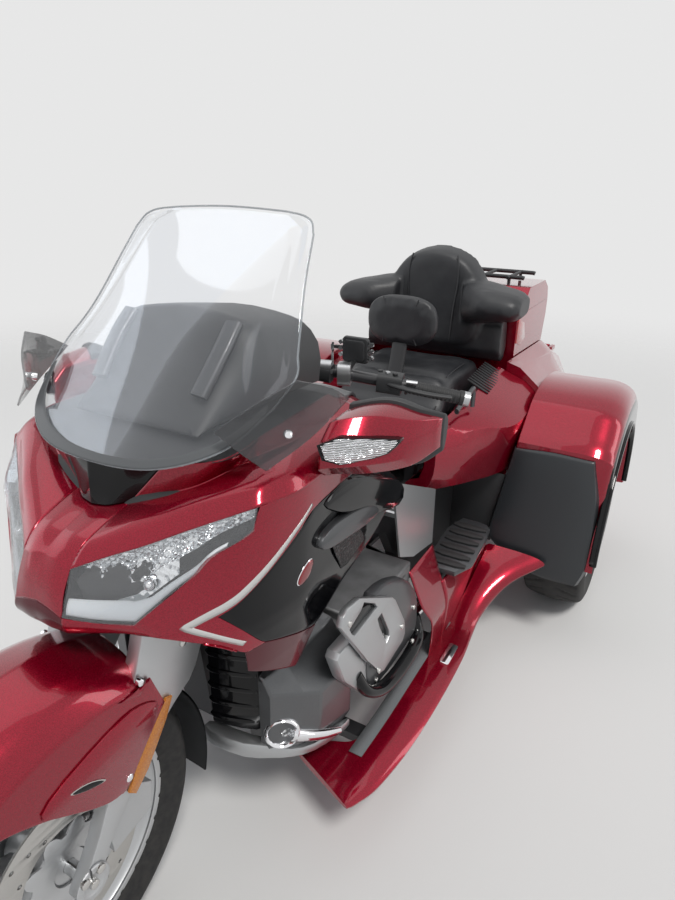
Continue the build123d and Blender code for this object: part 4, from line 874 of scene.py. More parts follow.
screen_low = along([(-262, 1088), (-220, 1036), (-130, 1007), (0, 1001), (130, 1007), (220, 1036), (262, 1088)], 120)
screen_high = along([(-210, 1336), (-192, 1360), (-140, 1371), (0, 1377), (140, 1371), (192, 1360), (210, 1336)], 120)
screen_right = along([(262, 1088), (272, 1128), (258, 1160), (247, 1190), (229, 1252), (210, 1336)], 90)
flat = patch(*[np.pad(c, ((0, 0), (0, 1))) for c in (screen_low, screen_high, screen_right * (-1, 1), screen_right)])
screen_grid = at(flat[..., 0], screen_station(flat[..., 0], flat[..., 1]), flat[..., 1])
glass = Shade("screen_clear", Base_Color=(0.90, 0.94, 1.0), Metallic=1.0, Roughness=0.015)
edge_gloss = glass.node("ShaderNodeFresnel", None, {"IOR": 1.42})
dusty = glass.noise(5, 4, stretch=(1, 1, 0.25))
glass.set(Alpha=0.025 + dusty * 0.04 + edge_gloss * 0.28, Roughness=0.01 + dusty * 0.05)
panel("screen_sheet", [screen_grid], glass, "windscreen", "screen", wall=3.5, core=inside_screen, angle=60)
edge_line = np.vstack([screen_low[:-1], screen_right[:-1], screen_high[::-1][:-1], (screen_right * (-1, 1))[::-1]])
rim_path = at(edge_line[:, 0], screen_station(edge_line[:, 0], edge_line[:, 1]) + 1.5, edge_line[:, 1])
rim_clear = grained("screen_edge", (0.35, 0.38, 0.40), (0.1, 0.1), 20, Alpha=0.5)
panel("screen_rim", [(swept(rim_path, ring(0.0036, 0.0036, 8), up=(0, 0.4, 1), closed_ends=False), False, True, 0)],
      rim_clear)
grey_strip = patch(*[at(c[:, 0], screen_station(c[:, 0], c[:, 1]) - 1.2, c[:, 1]) for c in (
    along([(-258, 1086), (-218, 1037), (-130, 1008), (0, 1002), (130, 1008), (218, 1037), (258, 1086)], 80),
    along([(-252, 1096), (-206, 1052), (-122, 1024), (0, 1013), (124, 1019), (209, 1047), (253, 1095)], 80),
    along([(-258, 1086), (-252, 1096)], 6), along([(258, 1086), (252, 1096)], 6))])
grey = grained("strip_grey", (0.10, 0.105, 0.11), (0.36, 0.16), 900)
panel("screen_strip", [grey_strip], grey, wall=2, core=inside_screen)
hood = hull((
    (313, [(0, 1031), (132, 1031), (150, 1033), (128, 1037), (92, 1040), (0, 1043)]),
    (400, [(0, 1031), (150, 1031), (170, 1080), (140, 1119), (100, 1127), (0, 1134)]),
    (452, [(0, 1031), (175, 1031), (182, 1130), (150, 1179), (100, 1196), (0, 1204)]),
    (500, [(0, 1031), (180, 1031), (188, 1140), (155, 1185), (104, 1200), (0, 1210)]),
    (638, [(0, 1031), (180, 1031), (188, 1120), (155, 1165), (104, 1180), (0, 1190)])), 36, 1)
panel("hood_shell", [hood], satin, "dash_hood", "satin_black", round_by=2, angle=50)
bars = rods([(118, 352, 1088), (122, 385, 1126), (124, 420, 1164), (122, 452, 1194)], 24, (0.034, 0.016, 18, 3),
            (0, -0.7, 0.7))
panel("hood_bars", bars, dark_cast)

# Mirrors: painted pods that grow out of the cowl with black backs, each with a turn signal lens in front.
pods = side_lofts((
    (318.3, [(405, 955), (540, 950), (568, 1024), (520, 1050), (412, 1042)]),
    (330, [(400, 962), (560, 955), (578, 1044), (520, 1064), (410, 1056)]),
    (380, [(438, 962), (580, 955), (600, 1048), (556, 1072), (450, 1062)]),
    (430, [(512, 965), (600, 955), (612, 1034), (580, 1054), (518, 1046)]),
    (461, [(584, 985), (610, 980), (618, 1024), (606, 1040), (590, 1036)])), 28, 1)
panel("mirror_pods", pods, cherry, "mirrors", "cherry_paint", round_by=3, angle=28)
pod_backs = side_lofts((
    (322, [(500, 949), (562, 944), (584, 1048), (522, 1069), (500, 1066)]),
    (380, [(536, 946), (584, 948), (606, 1052), (558, 1077), (536, 1075)]),
    (432, [(566, 952), (604, 949), (618, 1038), (582, 1059), (566, 1058)]),
    (464, [(598, 974), (613, 974), (623, 1027), (609, 1045), (600, 1044)])), 28, 1)
panel("mirror_backs", pod_backs, satin, round_by=3, angle=28)
signal = Shade("signal_lens", Base_Color=(0.93, 0.94, 0.95), Metallic=0.85, Roughness=0.16, Coat_Weight=1.0,
               Coat_Roughness=0.02)
ribs = signal.node("ShaderNodeTexWave", {"wave_type": "BANDS", "bands_direction": "Z"},
                   {"Vector": signal.place, "Scale": 75, "Distortion": 2.5, "Detail": 1.0}, out=1)
signal.set(Base_Color=signal.colours(ribs, (0.1, (0.30, 0.31, 0.33)), (0.5, (0.72, 0.74, 0.76)),
                                     (0.85, (0.97, 0.98, 0.99)))).bumps(ribs, 0.9, 0.004)
outline = np.array([(328, 394, 1046), (424, 494, 1030), (426, 497, 1022), (404, 484, 997), (338, 408, 993)], float)
face = rounded(outline, 1) + (2, -9, 0)
middle = face.mean(0)
outer = middle + (face - middle) * 1.05
lens_rings = np.stack([face + (0, 16, 0), face + (0, -1, 0), middle + (face - middle) * 0.93 + (0, -6, 0),
                       middle + (face - middle) * 0.5 + (0, -9, 0), middle + 0 * face + (0, -10, 0)])
frame_rings = np.stack([outer + (0, 14, 0), outer + (0, -2, 0), face + (0, -3, 0), face + (0, 4, 0)])
panel("signal_lenses", wrapped(placed(lens_rings)), signal, "turn_signals", "amber", core=inside_nose)
panel("signal_frames", wrapped(placed(frame_rings)), ink, core=inside_nose, wall=1)
smoke = Shade("smoked_acrylic", Base_Color=(0.035, 0.037, 0.042), Roughness=0.04, Coat_Weight=1.0)
haze = smoke.noise(7, 4)
smoke.set(Alpha=0.52 + haze * 0.1, Roughness=0.03 + haze * 0.05)
a, b, c, d = [np.array(p, float) for p in ((218, 268, 1072), (318, 352, 1146), (345, 466, 1092), (296, 294, 1016))]
wing = drawn([a, (a + b) / 2 + (4, -4, 6), b], [d, (c + d) / 2 + (6, -3, -4), c], [a, (a + d) / 2 + (0, -3, 0), d],
             [b, (b + c) / 2 + (8, 0, 6), c])
panel("deflector_sheets", mirrored(wing), smoke, "wind_deflectors", "smoke", wall=4, round_by=1, core=inside_nose)
buttons("deflector_bolts", [(sign * 302, 345, 1060, sign * 0.5, -0.8, 0.3) for sign in (1, -1)], 8, 9, bright)

# Frame, wishbones and engine: a black powder-coated frame carries a flat engine. Its heads stand out each
# side under grey cast covers with a silver skeleton plate, and a black tube guards them below.
frame_black = grained("frame_black", (0.03, 0.03, 0.033), (0.34, 0.14), 300, 2, Coat_Weight=0.3)
dress(frame_black, "main_frame", "rear_axle")
dress(cast, "wishbones")
cast_dark = Shade("cast_dark", Base_Color=(0.22, 0.225, 0.23), Metallic=0.75, Roughness=0.42)
sand = cast_dark.noise(900, 3)
cast_dark.set(Base_Color=cast_dark.colours(cast_dark.noise(12, 4), (0.3, (0.15, 0.152, 0.155)),
                                           (0.7, (0.27, 0.275, 0.28))),
              Roughness=0.36 + sand * 0.2).bumps(sand, 0.3, 0.0005)
softened("engine_case", "engine", 6, cast_dark, "cast_silver")
silver = grained("satin_silver", (0.50, 0.51, 0.52), (0.28, 0.14), 1600, 2, bump=(0.08, 0.0002), Metallic=0.9)
cover_boxes = [*flanks([rounded([(585, 352), (660, 318), (862, 318), (888, 345), (880, 440), (800, 540), (690, 592),
                                 (600, 600)], 1)], 300.6, 334, 9),
               *flanks([[(462, 538), (472, 550), (540, 548), (556, 540), (686, 410), (692, 394), (684, 376),
                         (650, 354), (592, 352), (576, 360), (502, 450), (494, 462)]], 298, 330, 4, 1)]
# The black plate set behind the silver skeleton plate is painted shade: it darkens the plate's slots like deep
# recesses.
cover_plates = [*flanks([[(442, 640), (448, 662), (462, 670), (514, 664), (676, 566), (694, 548), (754, 452),
                          (762, 430), (764, 404), (752, 390), (648, 378), (632, 386), (556, 478), (546, 494),
                          (454, 622)],
                         [(474, 616), (484, 598), (498, 584), (600, 588), (586, 606), (534, 642), (522, 630)],
                         [(602, 556), (612, 530), (646, 470), (656, 452), (670, 462), (668, 478), (622, 558)]],
                        335.5, 349.5, 1.6),
                *flanks([rounded([(474, 640), (600, 600), (700, 500), (650, 440), (500, 570)], 1)], 331, 340, 1, 1)]
guard_bars = rods([(320, 560, 425), (338, 580, 372), (347, 640, 330), (349, 722, 310), (347, 820, 306),
                   (338, 880, 306), (326, 902, 325), (316, 908, 350)], 60, (0.034, 0.028, 18), (0.2, 0.1, 1))
cover_bolts = outward(((349.5, 474, 630), (349.5, 742, 440), (349.5, 620, 400), (344, 832, 330), (334, 850, 420),
                       (334, 640, 350)))
fins = [loft([at(sign * x, (610, 860, 868, 860, 610, 602), np.array((0, 0, 2, 4, 4, 2.0)) + 352 + level * 24)
              for x in (170, 235, 300)], 3, 0, True) for sign in (1, -1) for level in range(7)]
plates("head_boxes", cover_boxes, [dark_cast, silver], "head_covers", "cast_silver")
plates("head_plates", cover_plates, [silver, ink])
panel("head_guards", guard_bars, ink)
panel("head_fins", fins, cast_dark)
buttons("head_bolts", cover_bolts, 7, 4, steel)

# Radiator covers and lower cowls: dark grey painted plastic with a silver lip round the bottom edge, a
# chromed fog lamp in each front corner and a chromed spear that runs back from it.
lens_clear = mottled("fog_lens", 110, ((0.15, (0.85, 0.87, 0.88)), (0.6, (0.12, 0.125, 0.13))), bump=(0.9, 0.004),
                     Base_Color=(0.55, 0.57, 0.58), Metallic=0.9, Roughness=0.1, Coat_Weight=1.0)
rad = shelves([rounded([(62, 362), (120, 372), (188, 398), (188, 440), (62, 440)], 1)], 331, 559, 8)
for level in range(350, 560, 42):
    rad += shelves([rounded([(70, 359), (118, 368), (176, 392), (176, 404), (70, 380)], 1)], level, level + 12, 3)


def lip_rise(u, v, w):
    """The lip's slope: its upper edge leans with the width and the whole lip sinks rearwards."""
    return (w > 300) * np.interp(u, (60, 200, 250), (8, 6, -10)) - np.interp(v, (384, 460, 590), (0, 28, 52))


lips = shelves([rounded([(56, 346), (148, 350), (206, 374), (240, 406), (266, 452), (286, 520), (296, 588),
                         (284, 590), (268, 525), (246, 458), (200, 406), (150, 384), (60, 378)], 1)], 284, 318, 5, 0,
               lip_rise)
spears = rods([(246, 412, 345), (266, 440, 328), (282, 482, 300), (293, 532, 270)], 24, (0.028, 0.034, 18, 2.6),
              (0.6, 0, 0.8),
              np.stack([np.linspace(1, 0.66, 24)] * 2, -1))
bezel = ((31, -60), (37, -30), (39, 6), (37.5, 12), (34, 15), (30, 12), (27.5, 4), (27, -14))
lens_bowl = ((27.3, -4), (20, 3), (10, 6), (0.2, 7))
turn = np.linspace(0, 2 * np.pi, 48, endpoint=False)[None, :, None]
out, level = np.array([0.62, -0.78, 0.06]), np.array([0.78, 0.62, 0.0])
upright = np.cross(level, out)
fog_parts = []
for number, profile in enumerate((bezel, lens_bowl)):
    radius, lift = np.array(profile, float).T[:, :, None, None]
    spot = np.array([230, 404, 354]) + out * lift + (level * np.cos(turn) + upright * np.sin(turn)) * radius
    fog_parts += [(grid, False, True, number) for grid in mirrored(placed(spot))]
plates("radiator_covers", rad, [ink], "radiators", "satin_black")
plates("lower_lips", lips, [silver])
panel("fog_spears", spears, bright)
panel("fog_lamps", fog_parts, [bright, lens_clear], "fog_lights", "chrome", core=(0.222, axle_y + 0.6, 0.345))
cowls = long_lofts((
    (380, [(191, 292), (206, 287), (218, 332), (221, 462), (206, 492), (191, 499)]),
    (430, [(191, 268), (226, 262), (259, 312), (266, 450), (224, 508), (191, 520)]),
    (472, [(191, 250), (236, 242), (284, 318), (286, 428), (230, 512), (191, 530)]),
    (530, [(191, 237), (252, 228), (290, 300), (293, 433), (240, 526), (191, 540)]),
    (587, [(191, 225), (262, 217), (296, 285), (298, 432), (245, 534), (191, 545)])), 30, 0, True)
slate = mottled("slate_paint", (1400, 2), ((0.3, (0.10, 0.103, 0.108)), (0.7, (0.16, 0.164, 0.17))), (0.26, 0.16),
                Base_Color=(0.13, 0.133, 0.138), Metallic=0.75, Roughness=0.34, Coat_Weight=0.3)
panel("lower_cowls", cowls, slate, "engine_cowls", "dark_cast", round_by=5, angle=16)
ducts = flanks([rounded([(425, 905), (480, 918), (540, 914), (700, 848), (790, 796), (784, 744), (690, 764),
                         (555, 822), (450, 880)], 1)], 297, 319, 9)
plates("knee_ducts", ducts, [ink])
softened("shield_plates", "heat_shields", 2, silver, "chrome")

# Handlebar: a bent steel tube in cast clamps on a stem, ribbed rubber grips, switch boxes and levers, and
# a holder for a device. All of it turns with the fork.
grip_rubber = grained("grip_rubber", (0.02, 0.02, 0.021), (0.5, 0.2), 700, bump=(0.3, 0.0004))
t = np.linspace(0, 1, 90)
ribs = 1 + 0.03 * np.sign(np.sin(t * 90)) * (t > 0.06) * (t < 0.9)
ribs[t < 0.04] = 1.25
ribs[t > 0.93] = 1.12
grips = [(swept(at(sign * (292 + 114 * t), 823 + 52 * t, 1010 - 23.5 * t), ring(0.030, 0.030, 28),
                size=np.stack([ribs, ribs], -1)), False, True, 0) for sign in (1, -1)]
tubes = [*rods([(0, 749, 1008), (50, 756, 1022), (110, 775, 1030), (200, 798, 1021), (285, 820, 1012),
                (404, 874, 987)], 60, (0.026, 0.026, 18))]
chrome_parts = [*rods([(404, 874, 987), (418, 880, 984)], 6, (0.033, 0.033, 24)),
                *rods([(78, 742, 1046), (110, 750, 1046), (142, 758, 1046)], 12, (0.03, 0.03, 20)),
                *rods([(150, 772, 1030), (176, 782, 1030)], 12, (0.044, 0.05, 20, 4))]
black_parts = [*rods([(232, 803, 1018), (256, 811, 1016), (284, 819, 1013)], 12, (0.050, 0.046, 24, 3.5)),
               *rods([(262, 796, 1018), (300, 792, 1014), (350, 806, 1006), (396, 828, 1000)], 30,
                     (0.016, 0.009, 14), size=np.stack([np.linspace(1.2, 0.8, 30)] * 2, -1)),
               *rods([(92, 752, 1034), (118, 757, 1032), (140, 762, 1030)], 10, (0.044, 0.040, 20, 3))]
tubes.append((swept(at(0, (742, 770, 812, 832), (1006, 958, 888, 852)), ring(0.036, 0.036, 20), up=(1, 0, 0)), False,
              True, 0))
panel("handlebar_tube", tubes, frame_black, "handlebar", "satin_black", body="handlebar")
panel("handlebar_grips", grips, grip_rubber, body="handlebar")
panel("handlebar_caps", chrome_parts, silver, body="handlebar")
panel("handlebar_boxes", black_parts, satin, body="handlebar")


def square(low, high, left, right):
    """Rectangle with its corners cut by 5, from its low and high and its left and right sides."""
    return [(left + 5, low), (right - 5, low), (right, low + 5), (right, high - 5), (right - 5, high),
            (left + 5, high), (left, high - 5), (left, low + 5)]


def crosswise(mark, outline, low, high, soft):
    """Plate across the vehicle, drawn in width and height, between two stations."""
    return mark, cutout([outline], low, high, lambda u, v, w: at(u, w, v), soft)


holder = [crosswise(0, square(1054, 1110, 149, 211), 789, 803, 3),
          crosswise(0, square(1060, 1104, 155, 205), 784, 790, 1.5)]
for x in (143, 217):
    holder += [crosswise(1, square(z, z + 8, x - 6, x + 6), 792, 800, 1) for z in (1064, 1078, 1092)]
holder += [crosswise(1, square(1072, 1092, 118, 126), 792, 795, 0.5),
           crosswise(1, square(1044, 1074, 120, 124), 792, 794, 0.5),
           crosswise(0, square(1080, 1086, 122, 150), 793, 799, 0.5)]
holder += [(mark, cutout([square(796, 808, sign * x - 6, sign * x + 6)], z - 3, z + 2, at, 1))
           for sign in (1, -1) for mark, x, z in ((0, 238, 1042), (1, 256, 1041), (0, 274, 1040))]
plates("device_holder", holder, [satin, silver], body="handlebar")
panel("holder_arm", [rod([(165, 783, 1028), (170, 788, 1045), (180, 794, 1062)], 12, (0.014, 0.014, 14), (1, 0, 0))] +
      [rod([(212, 796, z), (222, 797, z)], 4, (0.008, 0.008, 12)) for z in (1066, 1082, 1098)],
      satin, body="handlebar")
toggles = [rod([(300, 803, 1026), (322, 812, 1024)], 6, (0.012, 0.009, 12))]
panel("switch_toggle", toggles, silver, body="handlebar")

# Tank cover and saddles: a painted shell with a dark grey panel on top, then stepped vinyl saddles and
# two backrests, sewn from shaped covers over moulded foam with piping in the seams.
tank = hull((
    (800, [(0, 761), (146, 761), (166, 850), (138, 908), (80, 935), (0, 943)]),
    (860, [(0, 761), (156, 761), (176, 848), (142, 906), (80, 932), (0, 938)]),
    (950, [(0, 761), (163, 761), (180, 840), (143, 898), (80, 922), (0, 928)]),
    (1030, [(0, 761), (150, 761), (162, 815), (128, 852), (76, 866), (0, 870)]),
    (1084, [(0, 761), (128, 761), (138, 784), (110, 797), (70, 802), (0, 804)])), 36, 1)
panel("tank_shell", [tank], cherry, "tank_cover", "cherry_paint", round_by=2, angle=40)
tank_top = drawn([(-92, 812, 936), (0, 806, 948), (92, 812, 936)],
                 [(-60, 1040, 862), (0, 1046, 868), (60, 1040, 862)],
                 [(-92, 812, 936), (-98, 900, 925), (-88, 960, 915), (-60, 1040, 862)],
                 [(92, 812, 936), (98, 900, 925), (88, 960, 915), (60, 1040, 862)], 30, 40)
panel("tank_panel", [tank_top], dark_cast, wall=-8, round_by=2, core=(0, axle_y + 0.9, 0.7))
vinyl = Shade("seat_vinyl", Base_Color=(0.018, 0.019, 0.022), Roughness=0.44, Specular_IOR_Level=0.55)
hide = vinyl.cells(620)
crease = vinyl.noise(24, 4)
vinyl.set(Base_Color=vinyl.colours(crease, (0.3, (0.013, 0.014, 0.017)), (0.75, (0.026, 0.027, 0.03))),
          Roughness=0.38 + crease * 0.14).bumps(hide, 0.22, 0.0006)


def stuffed(name, grids, finish, stands_for=None, slot=None, swell=0.0055):
    """Vinyl cover over foam: the form is remeshed at 9 mm, blown up as cloth for 20 frames and held to
    within swell metres of where each point began, then subdivided once."""
    piece = panel(name, grids, finish, stands_for, slot, angle=180)
    remesh = piece.modifiers.new("even", "REMESH")
    remesh.mode, remesh.voxel_size, remesh.use_smooth_shade = "VOXEL", 0.009, True
    fixed = bpy.data.meshes.new_from_object(piece.evaluated_get(bpy.context.evaluated_depsgraph_get()))
    piece.modifiers.clear()
    piece.data = fixed
    begun = np.empty(len(fixed.vertices) * 3)
    fixed.vertices.foreach_get("co", begun)
    cloth = piece.modifiers.new("cover", "CLOTH")
    cloth.settings.use_pressure = True
    cloth.settings.uniform_pressure_force = 4
    cloth.settings.effector_weights.gravity = 0
    cloth.settings.quality = 4
    for number in range(1, 21):
        bpy.context.scene.frame_set(number)
    blown = bpy.data.meshes.new_from_object(piece.evaluated_get(bpy.context.evaluated_depsgraph_get()))
    after = np.empty(len(begun))
    blown.vertices.foreach_get("co", after)
    move = (after - begun).reshape(-1, 3)
    length = np.linalg.norm(move, axis=1, keepdims=True)
    move *= np.minimum(1, swell / np.maximum(length, 1e-9))
    piece.modifiers.clear()
    fixed.vertices.foreach_set("co", begun + move.ravel())
    bpy.data.meshes.remove(blown)
    bpy.context.scene.frame_set(1)
    fixed.materials.clear()
    fixed.materials.append(finish.material)
    fixed.shade_smooth()
    finer = piece.modifiers.new("finer", "SUBSURF")
    finer.levels = finer.render_levels = 1
    return piece


def seat_sections(table, shrink=4):
    """Closed cross sections of a saddle, a little smaller than the foam so that the cover can swell."""
    out = []
    for station, half in table:
        points = np.array(whole(half), float)
        points = points.mean(0) + (points - points.mean(0)) * (1 - shrink / 150)
        out.append(at(points[:, 0], station, points[:, 1]))
    return out


saddle = loft(seat_sections([
    (1102, [(0, 692), (116, 692), (126, 738), (92, 752), (0, 752)]),
    (1200, [(0, 692), (181, 692), (191, 733), (150, 752), (0, 742)]),
    (1290, [(0, 692), (188, 692), (198, 745), (156, 764), (0, 750)]),
    (1360, [(0, 692), (192, 692), (202, 763), (160, 782), (0, 768)]),
    (1400, [(0, 692), (188, 692), (198, 808), (152, 838), (0, 828)]),
    (1419, [(0, 692), (182, 692), (192, 826), (146, 854), (0, 844)])]), 40, 2)
pillion = loft(seat_sections([
    (1422, [(0, 692), (184, 692), (192, 826), (148, 846), (0, 828)]),
    (1470, [(0, 692), (192, 692), (200, 842), (155, 864), (0, 858)]),
    (1580, [(0, 692), (194, 692), (202, 846), (157, 866), (0, 858)]),
    (1689, [(0, 692), (196, 692), (202, 848), (160, 868), (0, 864)])]), 30, 2)
stuffed("saddles", [saddle, pillion], vinyl, "seats", "seat_vinyl", 0.0055)
back_outline = [(0, 884), (150, 884), (184, 960), (182, 1086), (150, 1146), (100, 1196), (0, 1222)]
back_rows = []
for station, factor in ((1696, 0.80), (1699, 0.90), (1710, 0.96), (1735, 0.985), (1787, 0.99)):
    points = np.array(whole(back_outline), float)
    points = (0, 1040) + (points - (0, 1040)) * factor + (0, (station - 1696) * 0.14)
    back_rows.append(at(points[:, 0], station, points[:, 1]))
pods = side_lofts((
    (120, [(1640, 990), (1786, 975), (1786, 1118), (1745, 1128), (1660, 1112)]),
    (190, [(1586, 1002), (1786, 984), (1786, 1112), (1742, 1122), (1600, 1104)]),
    (250, [(1578, 1006), (1782, 988), (1784, 1096), (1742, 1108), (1592, 1096)]),
    (300, [(1582, 1010), (1770, 994), (1776, 1084), (1740, 1096), (1598, 1088)]),
    (326, [(1608, 1030), (1760, 1016), (1766, 1066), (1732, 1080), (1618, 1076)])), 20, 2)
surround = loft([at(x, (1700, 1786, 1786, 1724), (846, 846, 1006, 1006)) for x in (-254, -250, -150, 150, 250, 254)],
                12, 1, True)
pad_rows = []
for station, factor in ((1428, 0.80), (1431, 0.92), (1439, 0.985), (1450, 1.0), (1462, 0.985), (1468, 0.9)):
    corners = ring(0.240 * factor, 0.160 * factor, 40, 2.7)
    pad_rows.append(at(corners[:, 0] * 1000, station, corners[:, 1] * 1000 + 1015))
stuffed("passenger_back", [loft(back_rows, 30, 2), *pods, surround], vinyl, "backrests", "seat_vinyl", 0.0055)
stuffed("rider_back", [loft(pad_rows, 30, 0)], vinyl, swell=0.005)
piping = [*rods([(80, 1700, 1196), (88, 1693, 1160), (90, 1690, 1100), (82, 1689, 1030), (77, 1690, 960),
                 (75, 1692, 912)], 50, (0.006, 0.006, 8), (1, 0, 0)),
          *rods([(60, 1430, 1088), (51, 1426, 1060), (48, 1425, 1015), (51, 1426, 970), (58, 1431, 944)], 40,
                (0.0045, 0.0045, 8), (1, 0, 0)),
          *rods([(126, 1150, 752), (158, 1200, 752), (166, 1300, 766), (168, 1356, 782)], 50, (0.005, 0.005, 8)),
          *rods([(160, 1450, 850), (162, 1500, 858), (163, 1560, 860), (162, 1610, 860)], 40, (0.005, 0.005, 8))]
panel("seat_piping", piping, vinyl)
panel("rider_back_post", [rod([(0, 1408, 842), (0, 1424, 890), (0, 1440, 944)], 12, (0.05, 0.016, 18, 4), (0, 1, 0))],
      satin)

# Trunk and rack: a hollow painted tub with a hinged lid, rubber-sealed between them, red lamps low in
# its front corners and a black tubular rack bolted to the lid.
softened("trunk_tub", "trunk", 10, cherry, "cherry_paint", 35)
softened("trunk_cover", "trunk_lid", 10, cherry, "cherry_paint", 35, "lid")
rack = [rod([(x, 1935, 1105), (x, 1960, 1106), (x, 2120, 1106), (x, 2145, 1105)], 20, (0.012, 0.012, 12))
        for x in (-190, -95, 0, 95, 190)]
for station in (1960, 2120):
    rack.append(rod([(-244, station, 1104), (-200, station, 1106), (200, station, 1106), (244, station, 1104)], 40,
                    (0.015, 0.015, 14)))
    for x in (-190, 0, 190):
        rack.append(rod([(x, station, 1080.5), (x, station, 1092), (x, station, 1104)], 6, (0.012, 0.012, 12),
                        (0, 1, 0)))
panel("rack_bars", rack, satin, "luggage_rack", "satin_black", body="lid")
red_lamp = mottled("red_lens", 260, ((0.1, (0.75, 0.02, 0.012)), (0.6, (0.36, 0.004, 0.004))), bump=(0.4, 0.002),
                   Base_Color=(0.55, 0.008, 0.006), Roughness=0.1, Coat_Weight=1.0)
softened("tail_lenses", "tail_lamps", 4, red_lamp, "red_lens", 30)
tips = flanks([[(1796, 905), (1860, 885), (1915, 905), (1880, 965), (1800, 990)]], 276, 283.5, 2.5)
plates("trunk_lamps", tips, [red_lamp])

# Rear body, fenders and wheels: painted glass-fibre over a steel subframe. Rubber stone guards are riveted
# to the fronts of the fenders, a gloss black trim follows each wheel arch, and the boot door hangs on a pin.
softened("rear_tub", "rear_body", 8, cherry, "cherry_paint", 35)
softened("boot_panel", "boot_door", 5, cherry, "cherry_paint", 35, "boot_door")
plate_white = mottled("plate_enamel", (30, 3), ((0.3, (0.55, 0.56, 0.55)), (0.7, (0.66, 0.67, 0.66))), (0.3, 0.15),
                      Base_Color=(0.62, 0.63, 0.62), Roughness=0.35)
trim = [crosswise(0, square(540, 660, -92, 92), 2390.2, 2391, 0.3),
        crosswise(1, square(676, 700, -60, 60), 2390.2, 2391.4, 0.6),
        crosswise(1, square(532, 668, -100, 100), 2389.6, 2390.3, 0.3)]
plates("plate_and_latch", trim, [plate_white, satin], body="boot_door")
buttons("plate_bolts", [(x, 2390.4, z, 0, 1, 0) for x in (-73, 73) for z in (565, 635)], 5, 1.2, steel,
        body="boot_door")
fender_line = along([(-358, 302), (-352, 345), (-314, 640), (-300, 680), (-262, 712), (-190, 772), (-110, 797),
                     (-20, 806), (80, 800), (170, 780), (330, 694), (440, 556), (490, 420), (498, 322)], 110,
                    sharp=(4, 5)) + (wheelbase, 0)
arms = fender_line - (wheelbase, axle_height)
reach = np.linalg.norm(arms, axis=1, keepdims=True)
ways = arms / reach
rows = []
for x, kind, value in ((401, "hub", 174), (401, "skin", 0.5), (401, "skin", 0.996), (404, "skin", 1.0),
                       (500, "skin", 1.0),
                       (598, "skin", 1.0), (622, "skin", 0.995), (644, "skin", 0.984), (662, "skin", 0.966),
                       (675, "skin", 0.944), (684, "skin", 0.918), (689, "skin", 0.890), (689.5, "skin", 0.870),
                       (688, "arch", 362), (684, "arch", 354), (670, "arch", 352), (452, "arch", 352),
                       (452, "hub", 174)):
    radius = np.full_like(reach, value)
    if kind == "skin":
        radius = np.maximum(reach * value, 176 if x < 450 else 355)
    elif kind == "arch":
        radius = np.minimum(radius, np.maximum(reach * 0.868, 352))
    flat = (wheelbase, axle_height) + ways * radius
    rows.append(np.stack([np.full(len(flat), float(x)), flat[:, 0], flat[:, 1]], -1))
shape = np.stack(rows, axis=1)
first, last = (np.broadcast_to(shape[k:k + 1].mean(1, keepdims=True), shape[:1].shape) for k in (0, len(shape) - 1))
shape = np.concatenate([first, shape, last])
panel("fender_shells", wrapped(placed(shape)), cherry, "rear_fenders", "cherry_paint", angle=20)
rear_centre = (0, axle_y + wheelbase / 1000, axle_height / 1000)
swing = np.radians(np.linspace(-86, 86, 90))
far = np.interp(np.degrees(swing), np.degrees(np.arctan2(ways[:, 0], ways[:, 1])), reach[:, 0])
flare = []
for x, share in ((684, 0.0), (691.5, 0.04), (691.5, 0.5), (690, 0.8), (681, 1.0), (676, 1.0)):
    radius = 353 + (np.maximum(far * 0.925, 372) - 353) * share
    flare.append(at(x, wheelbase + np.sin(swing) * radius, axle_height + np.cos(swing) * radius))
panel("arch_flares", mirrored(np.stack(flare)), ink, wall=2, core=rear_centre, angle=30)
swing = np.radians(np.linspace(-88, 88, 80))
arch = at(688, wheelbase + 358 * np.sin(swing), axle_height + 358 * np.cos(swing))
panel("arch_trims", wrapped(swept(arch, ring(0.012, 0.022, 12, 3), up=(1, 0, 0))), ink)
sheet = drawn([(392, 0, 652), (515, 0, 660), (640, 0, 656)],
              [(345, 0, 350), (420, 0, 292), (520, 0, 250), (655, 0, 246)],
              [(392, 0, 652), (368, 0, 500), (345, 0, 350)],
              [(640, 0, 656), (668, 0, 530), (677, 0, 411), (674, 0, 312), (655, 0, 246)], 40, 40) * 1000
share_x, share_z = (np.linspace(-1, 1, n) for n in (sheet.shape[1], sheet.shape[0]))
crown = (1 - np.abs(share_x[None, :]) ** 5) * (1 - 0.6 * np.abs(share_z[:, None]) ** 8)
front_face = np.interp(sheet[..., 2], (240, 300, 652, 700), (1429, 1432, 1478, 1500))
guard_face = at(sheet[..., 0], front_face - 3 - 12 * crown + 16 * (np.abs(share_x[None, :]) > 0.97), sheet[..., 2])
hide_black = Shade("guard_vinyl", Base_Color=(0.03, 0.034, 0.038), Roughness=0.36, Specular_IOR_Level=0.5)
pores = hide_black.cells(700)
hide_black.set(Roughness=0.30 + hide_black.noise(18, 3) * 0.12).bumps(pores, 0.15, 0.0005)
panel("stone_guards", mirrored(guard_face), hide_black, "fender_guards", "satin_black", wall=4,
      core=(0, axle_y + 1.79, 0.4), angle=50)
covers = long_lofts((
    (1182, [(152, 558), (206, 562), (238, 620), (244, 690), (236, 748), (209, 763), (209, 620), (152, 600)]),
    (1330, [(152, 547), (298, 552), (318, 620), (324, 690), (310, 763), (209, 798), (209, 620), (152, 600)]),
    (1480, [(152, 547), (366, 547), (377, 620), (392, 690), (393, 743), (209, 838), (209, 620), (152, 600)]),
    (1698, [(152, 547), (394, 547), (397, 620), (398, 700), (398, 788), (209, 860), (209, 620), (152, 600)])), 30, 1)
panel("side_cover_skins", covers, cherry, "side_covers", "cherry_paint", round_by=3, angle=30)
